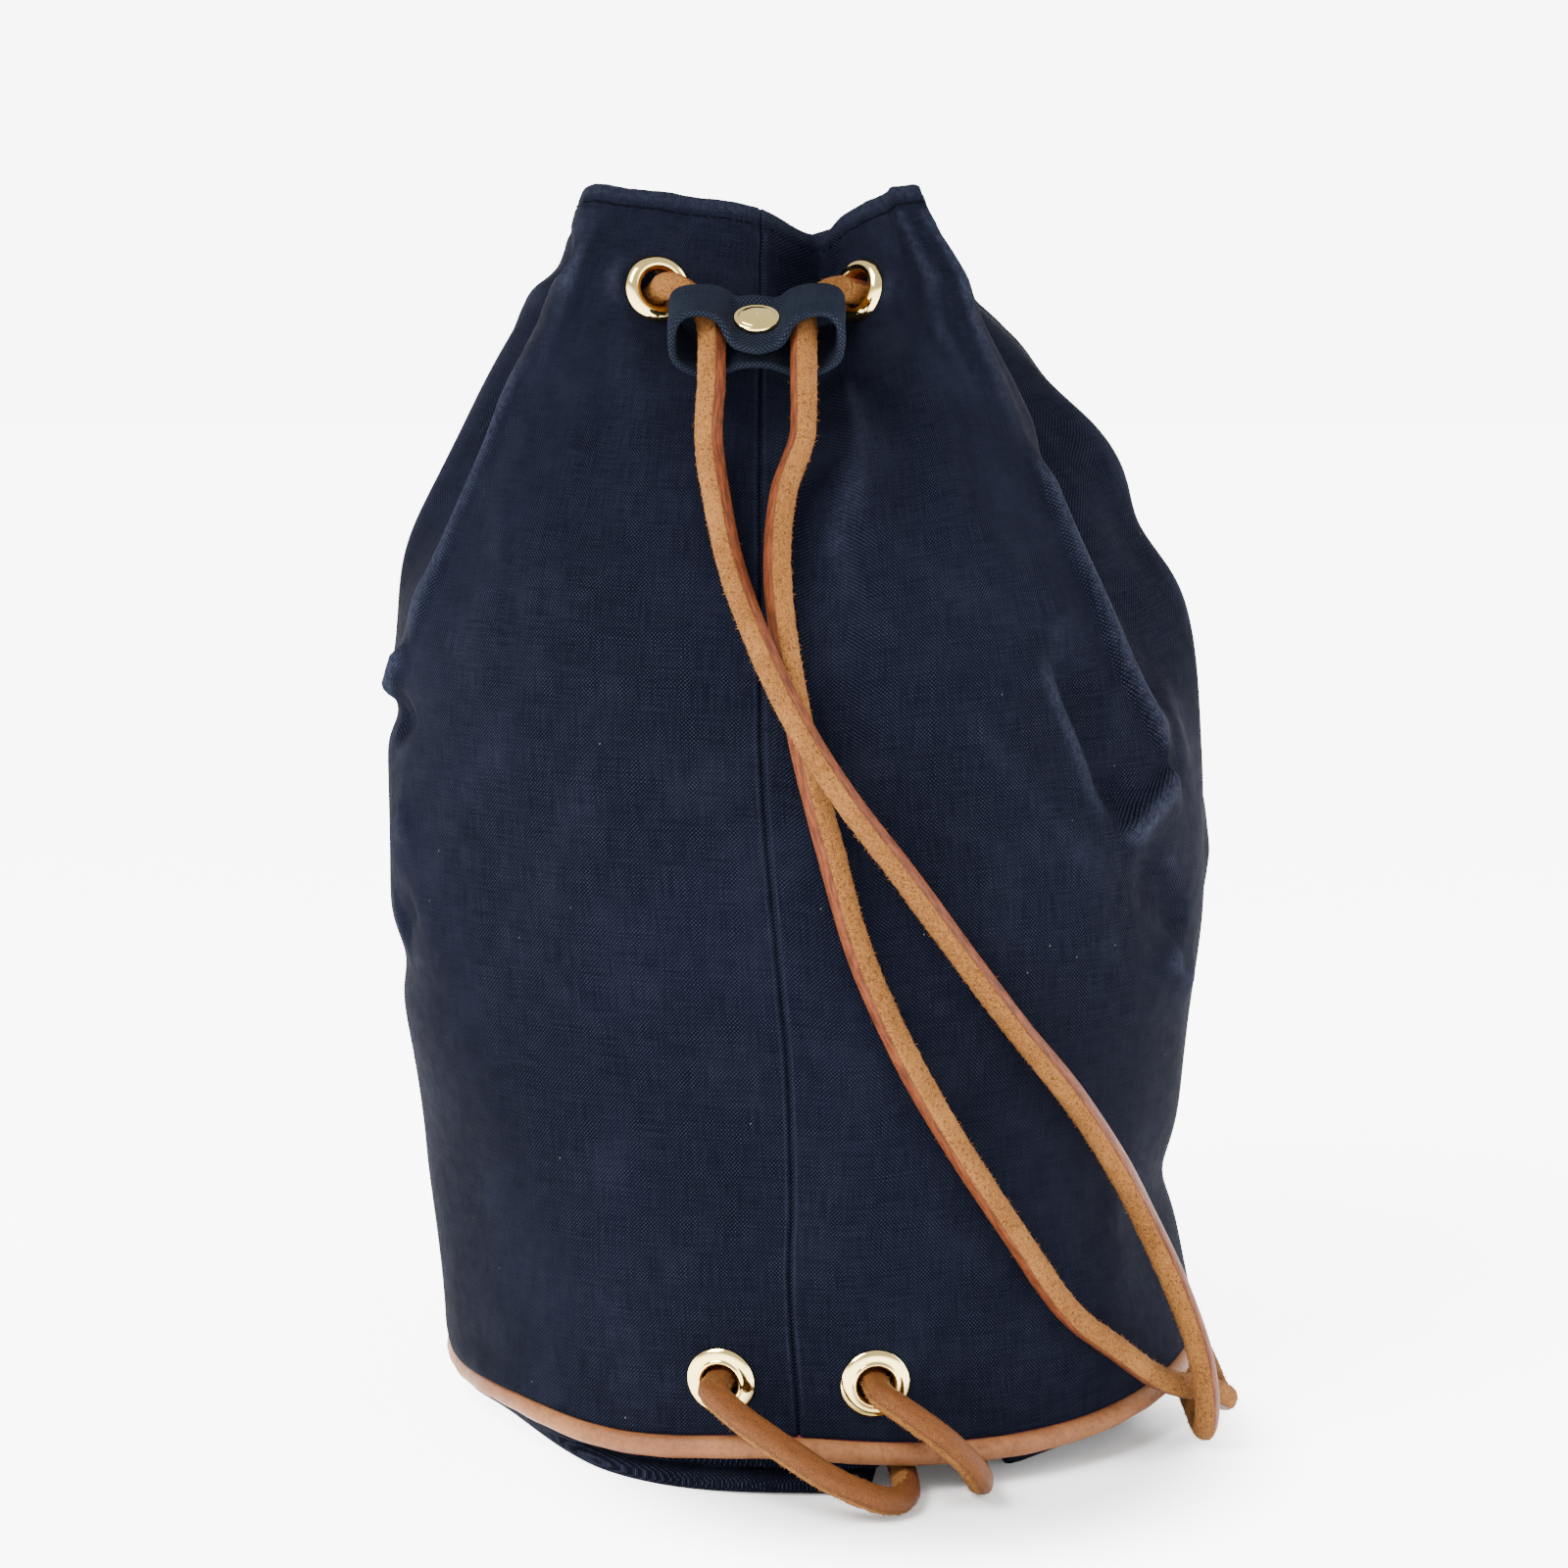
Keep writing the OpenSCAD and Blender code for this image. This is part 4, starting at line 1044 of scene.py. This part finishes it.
def base_layer(name, depth, thickness, rise, material, slot):
    """A cloth disc with an upturned edge, closed, following the base's underside at a depth above it."""
    cols = 300
    a = np.linspace(0, math.tau, cols, endpoint=False)
    share = np.linspace(0, 1, 42)[1:] ** 0.55
    r = np.concatenate([np.linspace(0.5, REST_R, 50), REST_R + (BASE_WALL_R - depth - REST_R) * share])
    rr, aa = np.meshgrid(r, a, indexing="ij")
    z = base_height(rr, aa, depth)
    creep = 0.3 * np.sin(9 * aa + 2) * smooth((rr - 72) / 8)
    lowest = np.maximum(z + 0.25 * creep * front_share(aa), depth)
    droop = 5.6 * front_share(aa) * smooth((rr - 72) / 12) * (1 - smooth((lowest - 1.8) / 2.8))
    rr_out = rr + (droop + 0.15 * creep * smooth((rr - 74) / 10)) * (depth == 0)
    flat = np.stack([BASE_X + rr_out * np.cos(aa), rr_out * np.sin(aa), lowest], -1)
    edge = flat[-1]
    top = rise + foot_lift(edge[:, 0], edge[:, 1])
    rows = []
    for t in np.linspace(0.12, 1, 9):
        row = edge.copy()
        row[:, 2] = edge[:, 2] + (top - edge[:, 2]) * t
        keep_in = 0.4 * smooth(t / 0.5) * (depth == 0)
        row[:, 0] -= keep_in * np.cos(a)
        row[:, 1] -= keep_in * np.sin(a)
        rows.append(row)
    outer = np.concatenate([flat, np.stack(rows)], 0)
    n = grid_normals(outer)
    inner = outer + n * thickness
    shell = np.concatenate([outer, inner[::-1]], 0)
    count = len(shell)
    keep = np.ones((count, cols), bool)
    keep[-1] = False
    faces, corners = grid_faces(count, cols, True, True, keep)
    u = np.empty((count + 1, cols + 1))
    v = np.empty_like(u)
    loop = np.concatenate([shell, shell[:1]], 0)
    loop = np.concatenate([loop, loop[:, :1]], 1)
    u[:], v[:] = loop[..., 0] * UV_MM, (loop[..., 1] + 0.0 * loop[..., 2]) * UV_MM
    face_list = faces[:, ::-1].tolist()
    uvs = grid_uvs(corners, u, v)[:, ::-1].reshape(-1, 2).tolist()
    middle = len(shell) * cols
    points = np.vstack([shell.reshape(-1, 3), shell[0].mean(0), shell[-1].mean(0)])
    for ring, tip, flip in ((0, middle, True), (count - 1, middle + 1, False)):
        for i in range(cols):
            p, q = ring * cols + i, ring * cols + (i + 1) % cols
            face_list.append([q, p, tip] if not flip else [p, q, tip][::-1][::1])
            uvs += [(0.05, 0.0)] * 3
    return piece(name, points, face_list, material, uvs, slot=slot, stands_for=(name,))


def foot_ring(name, section, material, slot, steps=560, stands_for=(), wobble=0.0):
    """A ring that follows the sewn foot, from a closed section of (outward, up) points."""
    a = np.linspace(0, math.tau, steps, endpoint=False)
    sec = np.asarray(section, float)
    r = PIPING_RING_R + sec[:, 0][:, None] + wobble * (np.sin(31 * a + 1) + np.sin(57 * a))[None, :]
    r = r - 2.6 * np.exp(-((a - 3.5) / 0.5) ** 2)[None, :]
    lift = foot_lift(BASE_X + PIPING_RING_R * np.cos(a), PIPING_RING_R * np.sin(a))
    z = PIPING_Z + sec[:, 1][:, None] + lift[None, :] + wobble * np.sin(43 * a)[None, :]
    points = np.stack([BASE_X + r * np.cos(a), r * np.sin(a), z], -1)
    faces, corners = grid_faces(len(sec), steps, True, True)
    around = np.linspace(0, math.tau, steps + 1) * PIPING_RING_R * UV_MM
    run = np.concatenate([[0], np.cumsum(np.linalg.norm(np.diff(np.vstack([sec, sec[:1]]), axis=0), axis=1))])
    u, v = np.meshgrid(around, run * UV_MM)
    return piece(name, points.reshape(-1, 3), faces, material, grid_uvs(corners, u, v).reshape(-1, 2),
                 slot=slot, stands_for=stands_for)


def circle(r, steps=24, x=0.0, y=0.0):
    t = np.linspace(0, math.tau, steps, endpoint=False)
    return np.stack([x + r * np.cos(t), y + r * np.sin(t)], 1)


def make_base():
    base = base_layer("base_canvas", 0.0, CANVAS_T, 16.5, NAVY, "canvas")
    base_layer("base_stiffener", CANVAS_T + 0.1, 1.5, 10.2, BOARD, "lining")
    base_layer("base_lining", CANVAS_T + 1.7, LINING_T, 15.5, LINING, "lining")
    foot_ring("piping_leather", circle(PIPING_R), PIPING, "leather", stands_for=("piping_leather",), wobble=0.05)
    foot_ring("piping_core", circle(PIPING_R - 1.1), BOARD, "lining", stands_for=("piping_core",))
    foot_ring("piping_edge", circle(0.55, 12, -0.45, PIPING_R - 0.05), PIPING_EDGE, "leather", wobble=0.05)
    tape = rounded(((-6.9, 3.4), (-6.1, 3.4), (-6.1, 7.9), (-6.9, 7.9)), 0.3)
    foot_ring("base_binding", tape, NAVY, "canvas", stands_for=("base_binding",), wobble=0.08)


make_base()


# ---------------------------------------------------------------- eyelets

def eyelet_profile(depth, domed):
    """The eyelet's section: flange outside, barrel through the cloth, lip rolled over the washer."""
    if domed:
        face = [(BORE_R + 0.02, 0.5), (BORE_R + 0.25, 1.25), (BORE_R + 0.9, 1.85), (BORE_R + 1.7, 1.95),
                (BORE_R + 2.6, 1.55), (FLANGE_R - 0.25, 0.75), (FLANGE_R, 0.2)]
    else:
        face = [(BORE_R - 0.05, 0.45), (BORE_R + 0.1, 1.15), (BORE_R + 0.55, 1.5), (BORE_R + 0.95, 1.3),
                (BORE_R + 1.25, 1.02), (BORE_R + 2.2, 0.95), (FLANGE_R - 0.5, 0.62), (FLANGE_R, 0.15)]
    back = [(FLANGE_R - 0.1, 0.03), (BORE_R + 0.5, 0.03), (BORE_R + 0.5, -depth - 0.7),
            (BORE_R + 1.7, -depth - 0.78), (BORE_R + 1.6, -depth - 1.3), (BORE_R + 0.5, -depth - 1.6),
            (BORE_R, -depth - 1.1)]
    return rounded(face + back, 0.5)[::-1]


def make_eyelets():
    washer = rounded(((BORE_R + 0.6, -0.6), (FLANGE_R, -0.6), (FLANGE_R, -0.05), (BORE_R + 0.6, -0.05)), 0.2)
    for i, seat in enumerate(MOUTH_SEATS, 1):
        lathe(f"eyelet_{i}", eyelet_profile(CANVAS_T, True), seat, BRASS, slot="hardware",
              stands_for=(f"eyelet_{i}",))
        lathe(f"washer_{i}", washer - (0, CANVAS_T), seat, BRASS, slot="hardware", stands_for=(f"washer_{i}",))
    for side, seat in zip(("left", "right"), LOW_SEATS):
        lathe(f"foot_eyelet_{side}", eyelet_profile(LOW_DEPTH, False), seat, BRASS, slot="hardware",
              stands_for=(f"foot_eyelet_{side}",))
        lathe(f"foot_washer_{side}", washer - (0, LOW_DEPTH), seat, BRASS, slot="hardware",
              stands_for=(f"foot_washer_{side}",))


make_eyelets()


# ---------------------------------------------------------------- the keeper and its snap

BEND = np.array([0.0, -49.0, 232.0])
BEND_R, KEEPER_X = 22.0, -9.5
KEEPER_ANGLE = math.radians(33)
OUT = np.array([0.0, -math.sin(KEEPER_ANGLE), math.cos(KEEPER_ANGLE)])
DOWN = np.array([0.0, -math.cos(KEEPER_ANGLE), -math.sin(KEEPER_ANGLE)])
RIGHT = np.array([1.0, 0.0, 0.0])
KEEPER = BEND + np.array([KEEPER_X, 0, 0]) + OUT * BEND_R
KEEPER_T, KEEPER_H = 1.7, 15.0
LOOP = (
    (0, 0.5), (2.5, 0.6), (4.3, 0.9), (5.8, 2.0), (7.4, 3.9), (9.8, 5.1), (12.8, 5.5), (16.0, 5.0), (17.9, 3.2),
    (18.1, -0.6), (17.2, -3.8), (14, -5.6), (10, -6.2), (6.6, -5.3), (3.4, -4.3), (0, -4),
)


def keeper_line():
    """The band's centre line as (across, out) points, from the snap round the right loop and back by the left."""
    right = [(x, y, 0) for x, y in LOOP]
    left = [(-x, y, 0) for x, y in LOOP[-2::-1]]
    line, run = spline(right + left, 0.35)
    return line[:, :2], run


def keeper_piece(name, line, run, first, last, body, stands_for=()):
    """A stretch of the doubled band, with wavy raw edges and a soft, slightly creased face."""
    p, s = line[first:last + 1], run[first:last + 1]
    whole = unit(np.gradient(line, axis=0))
    whole[0] = whole[-1] = (1, 0)
    d = whole[first:last + 1]
    nx, ny = -d[:, 1], d[:, 0]
    back = smooth((run[-1] / 4 - np.abs(s - run[-1] / 2)) / (run[-1] / 6))
    from_snap = np.minimum(s, run[-1] - s)
    front_mid = np.exp(-(from_snap / 6) ** 2)
    loop_top = np.exp(-((from_snap - 13.5) / 6) ** 4)
    upper = -KEEPER_H / 2 + 0.25 * np.sin(s / 3.7 + 1) + 0.12 * np.sin(s / 1.7) - 0.4 * loop_top + 0.5 * front_mid
    lower = KEEPER_H / 2 + 0.3 * np.sin(s / 4.3) + 0.15 * np.sin(s / 1.9 + 2) - 3.0 * loop_top + 2.0 * np.exp(-(from_snap / 5.2) ** 1.6)
    lower = lower + 1.4 * back
    half = KEEPER_T / 2
    across = []
    for t in np.linspace(0, 1, 26):
        across.append((t, 1.0))
    for a in np.linspace(0, math.pi, 7)[1:-1]:
        across.append((1 + 0.05 * math.sin(a), math.cos(a)))
    for t in np.linspace(1, 0, 26):
        across.append((t, -1.0))
    for a in np.linspace(math.pi, 0, 7)[1:-1]:
        across.append((-0.05 * math.sin(a), math.cos(a)))
    crease = waves(77, 6, (9, 22), 0.12)
    rows = []
    for t, h in across:
        along_t = upper + (lower - upper) * t
        puff = 0.28 * math.sin(math.pi * min(1, max(0, t)))
        off = h * (half + puff * 0.5) + crease(s * 1.0, along_t * 1.0)
        # Above the snap the doubled band stands clear of the cords' gap; below it, it is pinched in
        rise = front_mid * (2.2 * smooth((-along_t - 3) / 4.5) - 0.5 * smooth((along_t - 4) / 4))
        rise = rise - 0.5 * loop_top * smooth((-along_t - 2) / 5) + 0.5 * loop_top * smooth((along_t - 1) / 4)
        rows.append(KEEPER + (p[:, 0] + nx * off)[:, None] * RIGHT
                    + (p[:, 1] + ny * off + rise)[:, None] * OUT + along_t[:, None] * DOWN)
    points = np.stack(rows)
    count = len(across)
    faces, corners = grid_faces(count, len(p), True, False)
    section = np.array([(t * KEEPER_H, h * half) for t, h in across + across[:1]])
    v = np.concatenate([[0], np.cumsum(np.linalg.norm(np.diff(section, axis=0), axis=1))])
    u, v = np.meshgrid(s * UV_MM, v * UV_MM)
    return piece(name, points.reshape(-1, 3), faces, KEEPER_CLOTH, grid_uvs(corners, u, v).reshape(-1, 2),
                 body=body, slot="canvas", stands_for=stands_for), (p, s, nx, ny, upper, lower)


def fray(name, line_parts, count, seed, body):
    """Loose threads along the band's raw edges."""
    r = np.random.default_rng(seed)
    p, s, nx, ny, upper, lower = line_parts
    points, faces = [], []
    for _ in range(count):
        k = r.integers(1, len(s) - 1)
        low_edge = r.random() < 0.5
        t = lower[k] if low_edge else upper[k]
        way = 1 if low_edge else -1
        off = r.uniform(-0.7, 0.7)
        root = KEEPER + (p[k, 0] + nx[k] * off) * RIGHT + (p[k, 1] + ny[k] * off) * OUT + (t - way * 0.3) * DOWN
        push = DOWN * way * r.uniform(0.4, 1.1) + RIGHT * r.normal(0, 0.5) + OUT * r.normal(0.1, 0.45)
        mid = root + push * 0.55 + r.normal(0, 0.12, 3)
        tip = root + push + r.normal(0, 0.25, 3)
        wide = unit(np.cross(push, r.normal(0, 1, 3))) * 0.07
        start = len(points)
        points += [root - wide, root + wide, mid + wide, mid - wide, tip]
        faces += [[start, start + 1, start + 2, start + 3], [start + 3, start + 2, start + 4]]
    uvs = [(0.0, 0.0)] * sum(len(f) for f in faces)
    return piece(name, points, faces, KEEPER_CLOTH, uvs, body=body, slot="canvas")


class SnapSeat:
    centre, normal, across, up = KEEPER, OUT, RIGHT, np.cross(OUT, RIGHT)


def make_keeper():
    line, run = keeper_line()
    # The front strips run from the loops' crests to the snap, as pieces of their own
    crest = int(np.argmin(np.abs(run - 11.5)))
    last = len(run) - 1
    band, parts = keeper_piece("keeper_band", line, run, crest, last - crest, "keeper", ("keeper_band",))
    fray("keeper_band_fray", parts, 60, 5, "keeper")
    right, parts_r = keeper_piece("keeper_front_right", line, run, 0, crest, None, ("keeper_front",))
    left, parts_l = keeper_piece("keeper_front_left", line, run, last - crest, last, None)
    fringe_r = fray("keeper_front_right_fray", parts_r, 16, 6, None)
    fringe_l = fray("keeper_front_left_fray", parts_l, 16, 8, None)
    for obj, way in ((right, 1), (fringe_r, 1), (left, -1), (fringe_l, -1)):
        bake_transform(obj)
    cap = [(0.02, 0.75), (1.0, 0.75), (1.0, 1.75), (4.3, 1.7), (5.0, 1.55), (5.2, 1.75), (5.2, 2.25), (4.9, 2.6),
           (4.35, 2.72), (4.1, 2.6), (3.8, 2.78), (2.6, 3.12), (1.2, 3.3), (0.02, 3.34)]
    lathe("snap_cap", rounded(cap, 0.3)[::-1], SnapSeat, BRASS, body="snap", slot="hardware",
          stands_for=("snap_cap",))
    for name in ("snap_socket", "snap_stud", "snap_post"):
        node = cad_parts[name]
        node.data.materials.clear()
        node.data.materials.append(BRASS)
        for polygon in node.data.polygons:
            polygon.material_index = 0


make_keeper()


# ---------------------------------------------------------------- the studio

BACKDROP = 8.0
FLOOR_GLOW = 6.0
# Floor emission inside the painted contact shadow in front of the bag
PAINTED_SHADOW_GLOW = 0.05
OVERHEAD = 1.2


def make_floor():
    n = Nodes("studio_floor")
    # The paper sweeps up out of sight: far from the bag it shines as bright as the backdrop
    far = n.put("ShaderNodeVectorMath", operation="LENGTH")
    n.tree.links.new(n.place(), far.inputs[0])
    away = n.ramp(far.outputs["Value"], 0.3, 2.6)
    # Painted contact shadow: the floor's glow falls off between 92 mm and 48 mm from a point in front of the bag's
    # right side
    offset = n.put("ShaderNodeVectorMath", operation="DISTANCE")
    n.tree.links.new(n.place(), offset.inputs[0])
    offset.inputs[1].default_value = (0.028, -0.056, 0)
    near = n.ramp(offset.outputs["Value"], 0.048, 0.092, PAINTED_SHADOW_GLOW, FLOOR_GLOW)
    tone = n.mix(n.ramp(n.noise(3.0, 2), 0.3, 0.7), (0.86, 0.86, 0.86), (0.88, 0.88, 0.88))
    material = n.finish(n.mix(away, tone, (0.1, 0.1, 0.1)), 0.7, Specular_IOR_Level=0.1)
    n.shader.inputs["Emission Color"].default_value = (1, 1, 1, 1)
    n.feed(n.shader.inputs["Emission Strength"], n.math("MULTIPLY_ADD", away, BACKDROP - FLOOR_GLOW, near))
    mesh = bpy.data.meshes.new("floor")
    size = 30.0
    mesh.from_pydata([(-size, -size, 0), (size, -size, 0), (size, size, 0), (-size, size, 0)], [], [(0, 1, 2, 3)])
    mesh.materials.append(material)
    floor = bpy.data.objects.new("floor", mesh)
    bpy.context.scene.collection.objects.link(floor)


def softbox(name, location, target, size, power, color=(1, 1, 1)):
    data = bpy.data.lights.new(name, "AREA")
    data.shape = "RECTANGLE"
    data.size, data.size_y = size
    data.energy = power
    data.color = color
    light = bpy.data.objects.new(name, data)
    light.location = location
    light.rotation_euler = (Vector(target) - Vector(location)).to_track_quat("-Z", "Y").to_euler()
    bpy.context.scene.collection.objects.link(light)


def make_sky():
    """A soft white studio: bright at the horizon, where the backdrop would be, and dimmer overhead."""
    world = bpy.data.worlds.new("studio")
    bpy.context.scene.world = world
    world.use_nodes = True
    tree = world.node_tree
    background = tree.nodes["Background"]
    coordinate = tree.nodes.new("ShaderNodeTexCoord")
    split = tree.nodes.new("ShaderNodeSeparateXYZ")
    ramp = tree.nodes.new("ShaderNodeMapRange")
    tree.links.new(coordinate.outputs["Generated"], split.inputs[0])
    tree.links.new(split.outputs["Z"], ramp.inputs["Value"])
    ramp.interpolation_type = "SMOOTHSTEP"
    ramp.inputs["From Min"].default_value = 0.14
    ramp.inputs["From Max"].default_value = 0.4
    ramp.inputs["To Min"].default_value = BACKDROP
    ramp.inputs["To Max"].default_value = OVERHEAD
    background.inputs["Color"].default_value = (1, 1, 1, 1)
    tree.links.new(ramp.outputs["Result"], background.inputs["Strength"])


make_floor()
make_sky()
softbox("key", (-1.1, -0.9, 1.7), (0, 0, 0.12), (1.1, 1.1), 130)
softbox("rim_right", (1.5, 0.2, 0.9), (0, 0, 0.15), (0.8, 1.2), 30)
